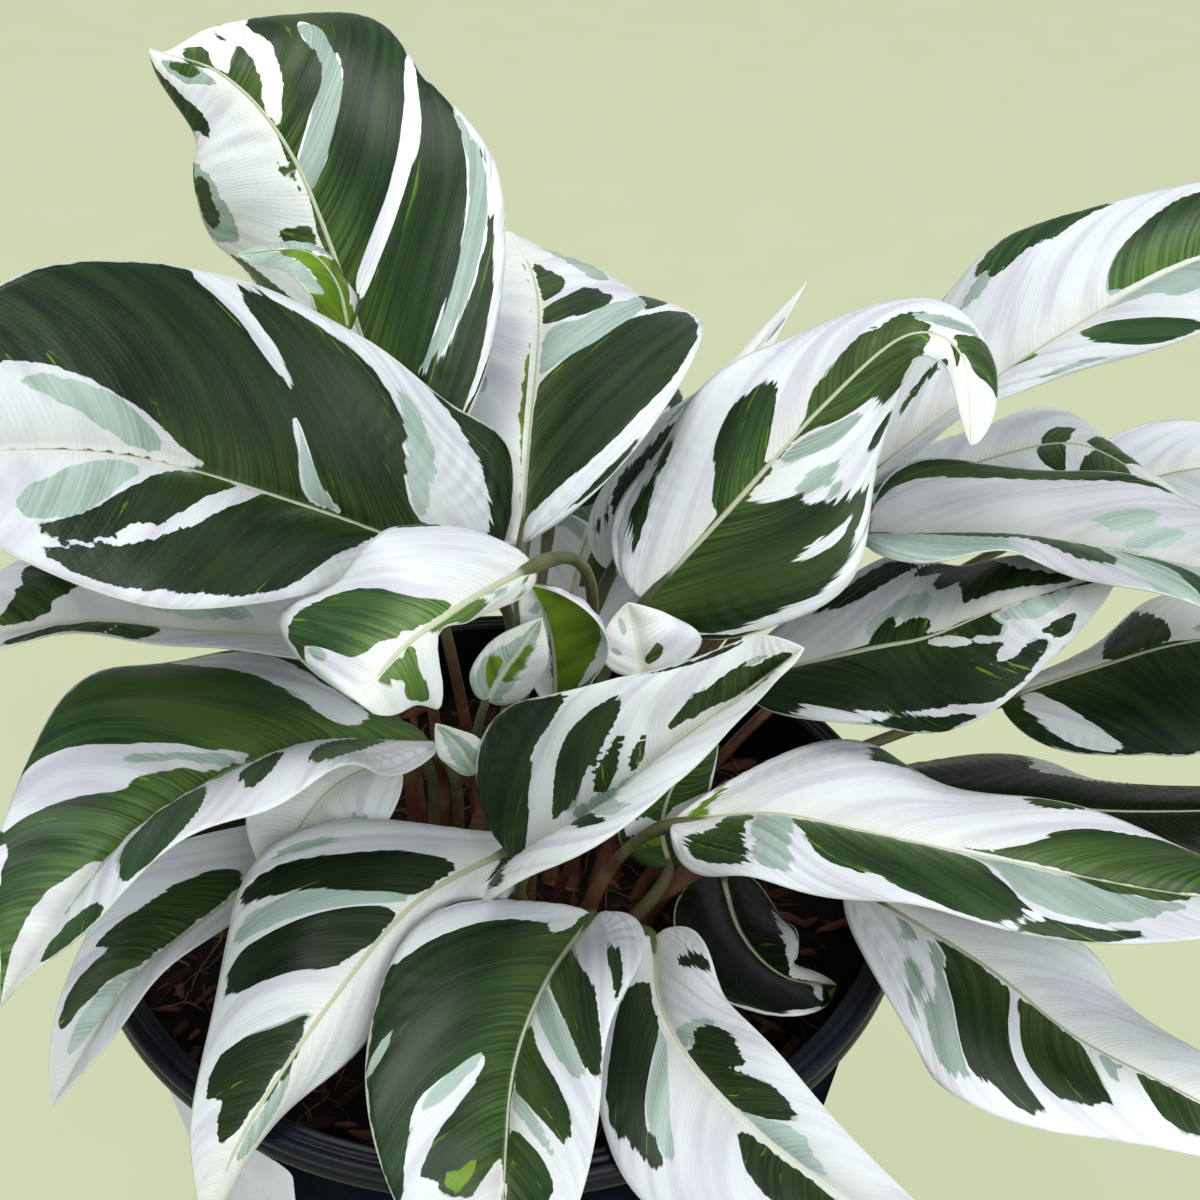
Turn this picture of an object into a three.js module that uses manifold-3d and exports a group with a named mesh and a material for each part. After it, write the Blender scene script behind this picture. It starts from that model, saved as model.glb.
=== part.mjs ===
// A potted prayer plant: white-splashed leaves on thin stalks, standing in potting mix in a plastic
// nursery pot. Millimetres, +Z up, with the origin at the centre of the pot's underside.
import Module from "manifold-3d";
import * as THREE from "three";
import { mergeVertices } from "three/addons/utils/BufferGeometryUtils.js";

const wasm = await Module();
wasm.setup();

// The pot: a tapered wall under a thick collar.
const POT_HEIGHT = 140;
const BASE_RADIUS = 61;
const BORE_RADIUS = 77;
const COLLAR_RADIUS = 82.5;
const COLLAR_DEPTH = 5;
const COLLAR_ROUNDING = 1.6;
const WALL = 1.5;
const FLOOR = 2.5;
const POT_SEGMENTS = 44;

// The potting mix, flat where the stalks stand and lower at the wall.
const SOIL_HEIGHT = 123;
const SOIL_FLAT_RADIUS = 48;
const SOIL_EDGE_DROP = 2;
const SOIL_WALL_GAP = 0.6;
const SOIL_SEGMENTS = 36;

// The blank sticker on the wall.
const LABEL_WIDTH = 38;
const LABEL_HEIGHT = 50;
const LABEL_AZIMUTH = THREE.MathUtils.degToRad(-132.5);
const LABEL_MIDDLE_HEIGHT = 103.5;
const LABEL_TILT = THREE.MathUtils.degToRad(8);
const LABEL_COLUMNS = 8;
const LABEL_ROWS = 3;

// Leaves and stalks.
const GAP = 0.3;
const SHEET = 0.8;
const NARROWEST = 0.8;
const STALK_RADIUS = 1.3;
const STALK_SIDES = 5;
const STALK_STEP = 17;
const STALK_FOOT_HEIGHT = SOIL_HEIGHT - 9;
const STALK_TOP = 0.05;
const STALK_HOLE_EXTRA_DEPTH = 0.9;
const RIGHT_WAVE_SHIFT = 0.37;
const FULL_RUFFLE_WIDTH = 8;
const LARGE_GRID = {
  along: [0, 0.05, 0.13, 0.24, 0.36, 0.48, 0.6, 0.72, 0.84, 0.94, 1],
  across: [-1, -0.67, -0.33, 0, 0.33, 0.67, 1],
};
const SMALL_GRID = {
  along: [0, 0.06, 0.16, 0.3, 0.46, 0.62, 0.78, 0.91, 1],
  across: [-1, -0.5, 0, 0.5, 1],
};

// Corners closer than this are one corner, and a share of the rib this small counts as its end.
const SAME_CORNER = 1e-4;
const RIB_END = 1e-4;

const FINISHES = {
  pot: { color: 0x14171d, roughness: 0.35 },
  soil: { color: 0x2a1d16, roughness: 0.95 },
  label: { color: 0xe4e7ee, roughness: 0.6 },
  leaf: { color: 0x5f8a58, roughness: 0.45 },
};

const LEAF_DEFAULTS = {
  baseShape: 0.5,
  tipShape: 0.75,
  arch: 40,
  up: [0, 0, 1],
  stalkRise: 1,
  stalkReach: 0.9,
  grid: LARGE_GRID,
};

// root: where the stalk leaves the mix, x and y.
// rib: points from the blade's base to its tip, with heights above the pot's rim.
// left, right: the two sides as seen from the base towards the tip. widths are at equal steps from
// base to tip, and lift is the side's angle in degrees above level, at the base and at the tip.
// wave: how the edges ruffle. baseShape, tipShape: lower is blunter. arch: each side's bend in degrees.
const LEAVES = [
  {
    name: "leaf_tall_left",
    root: [-6, 16],
    rib: [[-18, 14, 77], [-29, 31, 107], [-40, 46, 128], [-53, 56, 139], [-68, 62, 142]],
    left: { widths: [29, 34, 36, 34, 31, 30, 30], lift: [-80, -85] },
    right: { widths: [29, 33, 35, 30, 35, 19, -6], lift: [35, 25] },
    wave: { height: 1.5, count: 2, phase: 0 },
  },
  {
    name: "leaf_big_left",
    root: [-10, 0],
    rib: [[-2, 6, 61], [-33, -4, 81.5], [-61, -20, 100.5], [-92, -40, 110]],
    left: { widths: [8, 14, 24, 36, 46, 47, 40], lift: [-1, -22] },
    right: { widths: [44, 30, 32, 37, 41, 44, 41], lift: [72, 53] },
    wave: { height: 1.2, count: 2, phase: 0.3 },
    baseShape: 0.4,
  },
  {
    name: "leaf_curled_front",
    root: [9, 6.5],
    rib: [[8, -20, 80.5], [-2, -39, 85.5], [-11, -49, 83.5], [-17, -56, 78.5]],
    left: { widths: [9, 6, 4, 2, 13, 11, 8], lift: [-70, -70] },
    right: { widths: [44, 30, 21, 20.5, 22, 27, 32], lift: [21, -8] },
    wave: { height: 1.5, count: 2, phase: 0.2 },
    tipShape: 0.35,
    stalkReach: 1.4,
  },
  {
    name: "leaf_upper_middle",
    root: [6, 12],
    rib: [[4, 8, 67], [5, 23, 81], [6, 44, 94], [4, 63, 98], [-2, 81, 100]],
    left: { widths: [30, 31, 31, 28], lift: [-45, -15] },
    right: { widths: [31, 33, 32, 29], lift: [50, -40] },
    wave: { height: 1, count: 2, phase: 0.1 },
    tipShape: 0.5,
  },
  {
    name: "leaf_centre_right",
    root: [14, 5],
    rib: [[27, 4, 57], [42, 6, 76], [58, 11, 95], [72, 14, 108], [81, 9, 107], [82, -4, 96]],
    left: { widths: [30, 22, 14, 12], lift: [36, -20] },
    right: { widths: [28, 27, 27, 17, 9, 6, 6, 5, 4], lift: [-45, -30] },
    wave: { height: 1.2, count: 3, phase: 0.2 },
    baseShape: 0.4,
    tipShape: 0.6,
  },
  {
    name: "leaf_right_top",
    root: [20, 14],
    rib: [[68, 30, 67], [88, 33, 85], [105, 33, 100], [128, 34, 115], [152, 30, 121]],
    left: { widths: [22, 28, 27, 28], lift: [7, 38] },
    right: { widths: [11, 10, 10, 14, 27, 33, 28], lift: [15, -15] },
    wave: { height: 1.5, count: 2, phase: 0.4 },
  },
  {
    name: "leaf_right_upper",
    root: [22, 7],
    rib: [[70, 15, 66], [97, 7, 71], [116, -6, 75], [136, -19, 76], [153, -36, 72]],
    left: { widths: [21.5, 17.5, 24, 28], lift: [38, -8] },
    right: { widths: [24, 16, 25, 24], lift: [18, 5] },
    wave: { height: 1.5, count: 3, phase: 0.1 },
    baseShape: 0.35,
  },
  {
    name: "leaf_right_middle",
    root: [18, -1],
    rib: [[47, 8, 37], [70, 0, 50], [80, -4, 56], [92, -8, 66], [109, -12, 76]],
    left: { widths: [17, 22, 20, 17], lift: [35, -5] },
    right: { widths: [17, 18, 22, 20], lift: [-25, -45] },
    wave: { height: 1, count: 2, phase: 0.6 },
  },
  {
    name: "leaf_right_back",
    root: [27, 1],
    rib: [[98, 6, 34], [117, 7, 42], [134, 5, 50], [168, -1, 60]],
    left: { widths: [8, 12, 26, 24], lift: [-25, 0] },
    right: { widths: [20, 20, 26, 24], lift: [-25, -38] },
    wave: { height: 1, count: 2, phase: 0.2 },
  },
  {
    name: "leaf_right_shadow",
    root: [31, -2],
    rib: [[69, -2, 18], [98, -8, 20], [120, -15, 24], [158, -24, 34]],
    left: { widths: [17, 21, 19, 18], lift: [-10, -20] },
    right: { widths: [18, 22, 20, 18], lift: [-25, -25] },
    wave: { height: 1, count: 2, phase: 0.5 },
  },
  {
    name: "leaf_right_long",
    root: [16, -9],
    rib: [[33.5, -17, 21], [51, -22, 28], [68, -30, 31], [90, -40, 34], [118, -54, 40], [138, -60, 47]],
    left: { widths: [5, 19, 22, 18, 19, 21, 22], lift: [8, 0] },
    right: { widths: [26, 22, 19, 19, 22, 22, 18], lift: [-5, 10] },
    wave: { height: 1.5, count: 3, phase: 0.3 },
  },
  {
    name: "leaf_right_low",
    root: [29, -7],
    rib: [[68, -19, 8], [91, -38, 6], [105, -53, 4], [122, -67, 5], [138, -79, 3]],
    left: { widths: [15, 24, 16, 14], lift: [-18, -6] },
    right: { widths: [15, 24, 17, 13], lift: [-20, -12] },
    wave: { height: 1.2, count: 2, phase: 0.7 },
    stalkRise: 1.8,
  },
  {
    name: "leaf_front_right",
    root: [16, -24],
    rib: [[30, -35, 9], [31, -50, 7], [38, -64, 5], [53, -80, 3], [80, -101, 2]],
    left: { widths: [18, 12, 14, 15], lift: [34, 40] },
    right: { widths: [19, 15, 26, 15], lift: [0, -15] },
    wave: { height: 1, count: 2, phase: 0.1 },
  },
  {
    name: "leaf_front_middle",
    root: [10, -21],
    rib: [[19, -34, 13], [11, -53, 16], [6, -69, 12], [5, -86, 1], [4, -101, -16]],
    left: { widths: [23, 19, 20, 22], lift: [28, 32] },
    right: { widths: [24, 26, 26, 23], lift: [10, 20] },
    wave: { height: 1.2, count: 2, phase: 0.4 },
  },
  {
    name: "leaf_front_left",
    root: [-3, -17],
    rib: [[6, -21, 19], [-12, -41, 23], [-25, -60, 18], [-38, -77, 5], [-45, -87, -9]],
    left: { widths: [14, 12, 10, 10, 8, 6, 4], lift: [-70, -65] },
    right: { widths: [12, 22, 27, 25, 19, 12, 6], lift: [14, 5] },
    wave: { height: 1.5, count: 2, phase: 0.2 },
  },
  {
    name: "leaf_left_middle",
    root: [-12, -9],
    rib: [[-12, -14, 37], [-33, -27, 46], [-49, -42, 48], [-62, -58, 43], [-74, -74, 31]],
    left: { widths: [19, 26, 27, 20], lift: [15, 42] },
    right: { widths: [25, 30, 28, 19], lift: [0, 38] },
    wave: { height: 1.5, count: 3, phase: 0.3 },
  },
  {
    name: "leaf_left_low",
    root: [-19, -15],
    rib: [[-35, -14, 13], [-52, -32, 10], [-64, -48, 8], [-74, -67, -2]],
    left: { widths: [14, 8, 9, 9], lift: [22, 28] },
    right: { widths: [18, 18, 15, 11], lift: [10, 14] },
    wave: { height: 1, count: 2, phase: 0.1 },
  },
  {
    name: "leaf_left_under",
    root: [-18, -3],
    rib: [[-32, 3, 48], [-55, -9, 58], [-72, -20, 67], [-92, -34, 71]],
    left: { widths: [18, 9, 8, 16], lift: [5, 10] },
    right: { widths: [21, 20, 20, 19], lift: [30, 30] },
    wave: { height: 1, count: 2, phase: 0.8 },
  },
  {
    name: "leaf_pale_behind",
    root: [10, 17],
    rib: [[21, 24, 51], [30, 38, 64], [44, 52, 78], [61, 68, 95]],
    left: { widths: [13, 14, 9, 3], lift: [-10, -20] },
    right: { widths: [13, 14, 9, 3], lift: [-10, 5] },
    wave: { height: 0.8, count: 2, phase: 0.2 },
    grid: SMALL_GRID,
  },
  {
    name: "leaf_right_wavy",
    root: [26, 13],
    rib: [[80, 39, 61], [99, 40, 70], [115, 36, 75], [132, 22, 70]],
    left: { widths: [20, 25, 17, 15], lift: [-5, -20] },
    right: { widths: [20, 25, 17, 15], lift: [-20, -25] },
    wave: { height: 2.5, count: 2, phase: 0.2 },
    grid: SMALL_GRID,
  },
  {
    name: "leaf_right_far",
    root: [31, 10],
    rib: [[111, 40, 53], [135, 44, 64], [158, 40, 69], [177, 32, 69]],
    left: { widths: [20, 21, 21, 20], lift: [-5, 0] },
    right: { widths: [20, 21, 21, 20], lift: [-15, -28] },
    wave: { height: 1, count: 2, phase: 0.5 },
  },
  {
    name: "leaf_front_dark",
    root: [40, 9],
    rib: [[45.5, 1.5, -9], [48, -19, -6], [55, -31, -5], [66, -31, -8]],
    left: { widths: [11, 11, 8, 8], lift: [0, -5] },
    right: { widths: [12, 14, 17, 14], lift: [10, 10] },
    wave: { height: 1, count: 2, phase: 0.3 },
    grid: SMALL_GRID,
  },
  {
    name: "leaf_centre_front",
    root: [5, -22],
    rib: [[5, -34, 25], [20, -42, 46], [32, -45, 63], [44, -47, 77], [50, -49, 85]],
    left: { widths: [32, 21, 12, 16], lift: [75, 74] },
    right: { widths: [26, 20, 17, 12, 9, 10, 14], lift: [10, -10] },
    wave: { height: 0.8, count: 2, phase: 0.3 },
    baseShape: 0.35,
    stalkReach: 0.45,
  },
  {
    name: "leaf_crown_dark",
    root: [16, -17],
    rib: [[34, -10, 3], [32, -10, 13], [34, -9.5, 24], [41, -10, 39]],
    left: { widths: [8, 9, 9, 9], lift: [10, 10] },
    right: { widths: [8, 9, 9, 9], lift: [10, 10] },
    wave: { height: 0.5, count: 2, phase: 0.3 },
    up: [0, -1, 0],
    grid: SMALL_GRID,
  },
  {
    name: "leaf_left_pale",
    root: [-17, -8],
    rib: [[-19, -11, 31], [-30, -16, 28], [-36, -23, 24], [-41, -32, 19]],
    left: { widths: [14, 15, 14, 13], lift: [-25, -10] },
    right: { widths: [14, 15, 14, 13], lift: [20, 5] },
    wave: { height: 1, count: 2, phase: 0.3 },
    grid: SMALL_GRID,
  },
  {
    name: "leaf_new_roll",
    root: [5, -1],
    rib: [[11, -16, 47], [11, -16.6, 57], [10, -16.6, 66], [7, -16.6, 74]],
    left: { widths: [6, 7, 6, 6], lift: [-10, -10] },
    right: { widths: [9, 11, 16, 15], lift: [35, 35] },
    wave: { height: 0, count: 2, phase: 0 },
    tipShape: 0.45,
    arch: -110,
    up: [0, -1, 0],
    grid: SMALL_GRID,
  },
  {
    name: "leaf_new_white",
    root: [10, 0],
    rib: [[27, -12, 52], [26, -11, 57], [25, -9, 61], [24, -8, 65]],
    left: { widths: [6, 7, 6, 5], lift: [10, 0] },
    right: { widths: [14, 12, 9, 7], lift: [0, 0] },
    wave: { height: 0.5, count: 2, phase: 0 },
    up: [0, -1, 0.2],
    grid: SMALL_GRID,
  },
  {
    name: "leaf_new_point",
    root: [6, -7],
    rib: [[-1, -18.5, 50], [2, -19.5, 57], [6, -20, 64], [9, -19, 69]],
    left: { widths: [5, 6, 6, 4], lift: [10, 10] },
    right: { widths: [5, 6, 6, 4], lift: [10, 10] },
    wave: { height: 0.5, count: 2, phase: 0.5 },
    up: [0, -1, 0],
    grid: SMALL_GRID,
  },
  {
    name: "leaf_new_lime",
    root: [-18, 10],
    rib: [[-27, 20, 104], [-29, 22, 113], [-35, 24, 118], [-47, 26, 116]],
    left: { widths: [9, 9, 9, 7], lift: [25, -30] },
    right: { widths: [9, 9, 9, 7], lift: [-50, 0] },
    wave: { height: 0.5, count: 2, phase: 0 },
    grid: SMALL_GRID,
  },
  {
    name: "leaf_new_pale",
    root: [-7.5, -12],
    rib: [[-3, -21, 35], [-6, -22.5, 43], [-9.5, -25, 50]],
    left: { widths: [3, 4, 4, 3], lift: [10, 10] },
    right: { widths: [5, 5, 5, 4], lift: [10, 10] },
    wave: { height: 0.5, count: 2, phase: 0.2 },
    up: [0, -1, 0],
    grid: SMALL_GRID,
  },
  {
    name: "leaf_back_left",
    root: [-15, 22],
    rib: [[-30, 40, 55], [-52, 62, 60], [-72, 82, 56], [-88, 98, 44]],
    left: { widths: [26, 28, 26, 22], lift: [15, 10] },
    right: { widths: [26, 28, 26, 22], lift: [15, 10] },
    wave: { height: 1.2, count: 2, phase: 0.1 },
  },
  {
    name: "leaf_back_low_left",
    root: [-20, 24],
    rib: [[-38, 52, 20], [-62, 78, 24], [-84, 100, 18], [-100, 116, 6]],
    left: { widths: [24, 26, 24, 20], lift: [12, 10] },
    right: { widths: [24, 26, 24, 20], lift: [12, 10] },
    wave: { height: 1, count: 2, phase: 0.5 },
  },
  {
    name: "leaf_back_far",
    root: [-1, 24],
    rib: [[8, 48, 50], [8, 72, 58], [6, 98, 56], [4, 120, 46]],
    left: { widths: [27, 30, 27, 22], lift: [12, 10] },
    right: { widths: [27, 30, 27, 22], lift: [12, 10] },
    wave: { height: 1.3, count: 2, phase: 0.3 },
  },
  {
    name: "leaf_back_mid",
    root: [6, 27],
    rib: [[10, 44, 17], [15, 70, 28], [21, 100, 23], [25, 126, 8]],
    left: { widths: [25, 27, 25, 20], lift: [10, 10] },
    right: { widths: [25, 27, 25, 20], lift: [10, 10] },
    wave: { height: 1, count: 3, phase: 0.2 },
  },
  {
    name: "leaf_back_right",
    root: [19, 23],
    rib: [[40, 46, 40], [60, 68, 47], [78, 90, 45], [94, 108, 35]],
    left: { widths: [26, 28, 25, 21], lift: [10, 10] },
    right: { widths: [26, 28, 25, 21], lift: [12, 10] },
    wave: { height: 1.2, count: 2, phase: 0.6 },
  },
];

const UP = new THREE.Vector3(0, 0, 1);

/** A smooth curve through points. */
function smoothCurve(points) {
  const vectors = points.map((point) => new THREE.Vector3(...point));
  return new THREE.CatmullRomCurve3(vectors, false, "catmullrom", 0.5);
}

/** The leaf's rib in the object's frame. */
function ribCurve(leaf) {
  return smoothCurve(leaf.rib.map(([x, y, z]) => [x, y, z + POT_HEIGHT]));
}

/** Half width along the rib: rounded at the base, drawn to a point at the tip. */
function halfWidth(leaf, side, along) {
  const peak = leaf.baseShape / (leaf.baseShape + leaf.tipShape);
  const fromBase = Math.max(along, RIB_END);
  const fromTip = Math.max(1 - along, RIB_END);
  const rise = fromBase ** leaf.baseShape * fromTip ** leaf.tipShape;
  const highest = peak ** leaf.baseShape * (1 - peak) ** leaf.tipShape;
  const width = smoothCurve(side.widths.map((value) => [value, 0, 0])).getPoint(along).x;
  return Math.max((width * rise) / highest, NARROWEST);
}

/** A point of the blade: along runs from base to tip, across from -1 at the left edge to 1. */
function bladePoint(leaf, rib, along, across) {
  const up = new THREE.Vector3(...leaf.up);
  const tangent = rib.getTangent(along);
  const level = up.cross(tangent).normalize();
  const above = tangent.clone().cross(level);
  const isLeft = across < 0;
  const side = isLeft ? leaf.left : leaf.right;
  const out = Math.abs(across);
  const width = halfWidth(leaf, side, along);
  const arch = THREE.MathUtils.degToRad(leaf.arch);
  const lift = THREE.MathUtils.degToRad(THREE.MathUtils.lerp(side.lift[0], side.lift[1], along));
  const start = lift + arch / 2;
  const end = start - arch * out;
  const reach = ((Math.sin(start) - Math.sin(end)) / arch) * width;
  const climb = ((Math.cos(end) - Math.cos(start)) / arch) * width;
  const phase = leaf.wave.phase + (isLeft ? 0 : RIGHT_WAVE_SHIFT);
  const turns = leaf.wave.count * along + phase;
  const fade = Math.min(width / FULL_RUFFLE_WIDTH, 1);
  const ruffle = leaf.wave.height * out * out * Math.sin(2 * Math.PI * turns) * fade;
  return rib
    .getPoint(along)
    .addScaledVector(level, (isLeft ? 1 : -1) * (reach - ruffle * Math.sin(end)))
    .addScaledVector(above, climb + ruffle * Math.cos(end));
}

/** A closed sheet on a grid of points, split into triangles alike on both faces. */
function sheetGeometry(grid, thickness) {
  const rows = grid.length;
  const columns = grid[0].length;
  const ribColumn = (columns - 1) / 2;
  const at = (row, column) => {
    const safeRow = THREE.MathUtils.clamp(row, 0, rows - 1);
    return grid[safeRow][THREE.MathUtils.clamp(column, 0, columns - 1)];
  };
  const upper = [];
  const lower = [];
  for (let row = 0; row < rows; row += 1) {
    for (let column = 0; column < columns; column += 1) {
      const isEnd = row === 0 || row === rows - 1;
      const slopeColumn = isEnd ? ribColumn : column;
      const forward = at(row + 1, slopeColumn).clone().sub(at(row - 1, slopeColumn));
      const sideways = at(row, slopeColumn + 1).clone().sub(at(row, slopeColumn - 1));
      const normal = sideways.cross(forward).setLength(thickness / 2);
      upper.push(...at(row, column).clone().add(normal).toArray());
      lower.push(...at(row, column).clone().sub(normal).toArray());
    }
  }
  const faces = [];
  const under = rows * columns;
  const addBoth = (a, b, c) => faces.push(a, b, c, under + a, under + c, under + b);
  for (let row = 0; row < rows - 1; row += 1) {
    for (let column = 0; column < columns - 1; column += 1) {
      const a = row * columns + column;
      const b = a + 1;
      const c = b + columns;
      const d = a + columns;
      if (column < ribColumn) {
        addBoth(a, b, c);
        addBoth(a, c, d);
      } else {
        addBoth(a, b, d);
        addBoth(b, c, d);
      }
    }
  }
  const ring = [];
  for (let column = 0; column < columns - 1; column += 1) ring.push(column);
  for (let row = 0; row < rows - 1; row += 1) ring.push(row * columns + columns - 1);
  for (let column = columns - 1; column > 0; column -= 1) ring.push((rows - 1) * columns + column);
  for (let row = rows - 1; row > 0; row -= 1) ring.push(row * columns);
  ring.forEach((a, index) => {
    const b = ring[(index + 1) % ring.length];
    faces.push(under + a, under + b, b, under + a, b, a);
  });
  const geometry = new THREE.BufferGeometry();
  geometry.setAttribute("position", new THREE.Float32BufferAttribute([...upper, ...lower], 3));
  geometry.setIndex(faces);
  return geometry;
}

/** The leaf's blade. */
function bladeGeometry(leaf) {
  const rib = ribCurve(leaf);
  const grid = leaf.grid.along.map((along) =>
    leaf.grid.across.map((across) => bladePoint(leaf, rib, along, across)),
  );
  return sheetGeometry(grid, SHEET);
}

/** The middle line of the leaf's stalk, upright at the mix and running on into the rib. */
function stalkCurve(leaf) {
  const rib = ribCurve(leaf);
  const foot = new THREE.Vector3(leaf.root[0], leaf.root[1], STALK_FOOT_HEIGHT);
  const top = rib.getPoint(STALK_TOP);
  const span = foot.distanceTo(top);
  const handle = span / 3;
  const rise = foot.clone().addScaledVector(UP, handle * leaf.stalkRise);
  const reach = top.clone().addScaledVector(rib.getTangent(0), -handle * leaf.stalkReach);
  return new THREE.CubicBezierCurve3(foot, rise, reach, top);
}

/** How many straight lengths the stalk has. */
function stalkSteps(curve) {
  return Math.max(2, Math.floor(curve.getLength() / STALK_STEP));
}

/** A round bar along a path. */
function barGeometry(path, radius, steps) {
  const outline = new THREE.Shape(
    new THREE.EllipseCurve(0, 0, radius, radius).getPoints(STALK_SIDES).slice(0, STALK_SIDES),
  );
  return new THREE.ExtrudeGeometry(outline, { steps, bevelEnabled: false, extrudePath: path });
}

/** The hole that a stalk stands in: straight along the stalk's lowest length. */
function stalkHoleGeometry(leaf) {
  const curve = stalkCurve(leaf);
  const bottom = curve.getPointAt(0);
  const top = curve.getPointAt(1 / stalkSteps(curve));
  const direction = top.clone().sub(bottom).normalize();
  bottom.addScaledVector(direction, -STALK_HOLE_EXTRA_DEPTH);
  const path = new THREE.LineCurve3(bottom, top);
  return barGeometry(path, (STALK_RADIUS + GAP) / Math.cos(Math.PI / STALK_SIDES), 1);
}

/** A geometry as a manifold solid. */
function solidFrom(geometry) {
  const plain = geometry.clone();
  plain.deleteAttribute("normal");
  plain.deleteAttribute("uv");
  const merged = mergeVertices(plain, SAME_CORNER);
  const mesh = new wasm.Mesh({
    numProp: 3,
    vertProperties: new Float32Array(merged.attributes.position.array),
    triVerts: new Uint32Array(merged.index.array),
  });
  return new wasm.Manifold(mesh);
}

/** A manifold solid as a geometry. */
function geometryFrom(solid) {
  const mesh = solid.getMesh();
  const geometry = new THREE.BufferGeometry();
  geometry.setAttribute("position", new THREE.BufferAttribute(mesh.vertProperties, 3));
  geometry.setIndex(new THREE.BufferAttribute(mesh.triVerts, 1));
  return geometry;
}

/** A ring or disc turned about the upright axis from radius and height pairs. */
function turnedGeometry(profile, segments) {
  const points = profile.map(([radius, height]) => new THREE.Vector2(radius, height));
  return new THREE.LatheGeometry(points, segments).rotateX(Math.PI / 2);
}

/** The wall's outer radius at a height below the collar. */
function wallRadius(height) {
  const collarUnderside = POT_HEIGHT - COLLAR_DEPTH;
  return THREE.MathUtils.mapLinear(height, 0, collarUnderside, BASE_RADIUS, BORE_RADIUS + WALL);
}

/** Points of a quarter round from one angle to the next, in degrees. */
function roundedCorner(radius, height, rounding, fromDegrees, toDegrees) {
  const steps = 3;
  return Array.from({ length: steps + 1 }, (_, step) => {
    const degrees = THREE.MathUtils.lerp(fromDegrees, toDegrees, step / steps);
    const angle = THREE.MathUtils.degToRad(degrees);
    return [radius + rounding * Math.cos(angle), height + rounding * Math.sin(angle)];
  });
}

function potGeometry() {
  const collarUnderside = POT_HEIGHT - COLLAR_DEPTH;
  const lip = COLLAR_RADIUS - COLLAR_ROUNDING;
  const profile = [
    [0, 0],
    [BASE_RADIUS - WALL, 0],
    [wallRadius(WALL), WALL],
    [wallRadius(collarUnderside), collarUnderside],
    [COLLAR_RADIUS, collarUnderside],
    ...roundedCorner(lip, POT_HEIGHT - COLLAR_ROUNDING, COLLAR_ROUNDING, 0, 90),
    ...roundedCorner(BORE_RADIUS + WALL, POT_HEIGHT - WALL, WALL, 90, 180),
    [wallRadius(FLOOR) - WALL, FLOOR],
    [0, FLOOR],
  ];
  return turnedGeometry(profile, POT_SEGMENTS);
}

function soilGeometry() {
  const bottom = FLOOR + GAP;
  const edge = SOIL_HEIGHT - SOIL_EDGE_DROP;
  const inside = (height) => wallRadius(height) - WALL - SOIL_WALL_GAP;
  const profile = [
    [0, bottom],
    [inside(bottom), bottom],
    [inside(edge), edge],
    [SOIL_FLAT_RADIUS, SOIL_HEIGHT],
    [0, SOIL_HEIGHT],
  ];
  let soil = solidFrom(turnedGeometry(profile, SOIL_SEGMENTS));
  for (const leaf of leaves) soil = soil.subtract(solidFrom(stalkHoleGeometry(leaf)));
  return geometryFrom(soil);
}

/** The blade and its stalk as one body. */
function leafGeometry(leaf) {
  const curve = stalkCurve(leaf);
  const stalk = solidFrom(barGeometry(curve, STALK_RADIUS, stalkSteps(curve)));
  return geometryFrom(solidFrom(bladeGeometry(leaf)).add(stalk));
}

/** A thin sheet that follows the pot's wall. */
function labelGeometry() {
  const grid = [];
  for (let row = 0; row <= LABEL_ROWS; row += 1) {
    const points = [];
    for (let column = 0; column <= LABEL_COLUMNS; column += 1) {
      const sideways = LABEL_WIDTH * (column / LABEL_COLUMNS - 0.5);
      const upwards = LABEL_HEIGHT * (row / LABEL_ROWS - 0.5);
      const corner = new THREE.Vector2(sideways, upwards).rotateAround(new THREE.Vector2(), -LABEL_TILT);
      const height = LABEL_MIDDLE_HEIGHT + corner.y;
      const angle = LABEL_AZIMUTH + corner.x / wallRadius(LABEL_MIDDLE_HEIGHT);
      const radius = wallRadius(height) + GAP + SHEET / 2;
      points.push(new THREE.Vector3(radius * Math.cos(angle), radius * Math.sin(angle), height));
    }
    grid.push(points);
  }
  return sheetGeometry(grid, SHEET);
}

function namedMesh(name, geometry, finish) {
  const mesh = new THREE.Mesh(geometry, new THREE.MeshStandardMaterial({ ...finish, metalness: 0 }));
  mesh.name = name;
  return mesh;
}

const leaves = LEAVES.map((leaf) => ({ ...LEAF_DEFAULTS, ...leaf }));
const plant = new THREE.Group();
plant.add(namedMesh("pot", potGeometry(), FINISHES.pot));
plant.add(namedMesh("soil", soilGeometry(), FINISHES.soil));
plant.add(namedMesh("label", labelGeometry(), FINISHES.label));
for (const leaf of leaves) plant.add(namedMesh(leaf.name, leafGeometry(leaf), FINISHES.leaf));

export default plant;
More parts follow.
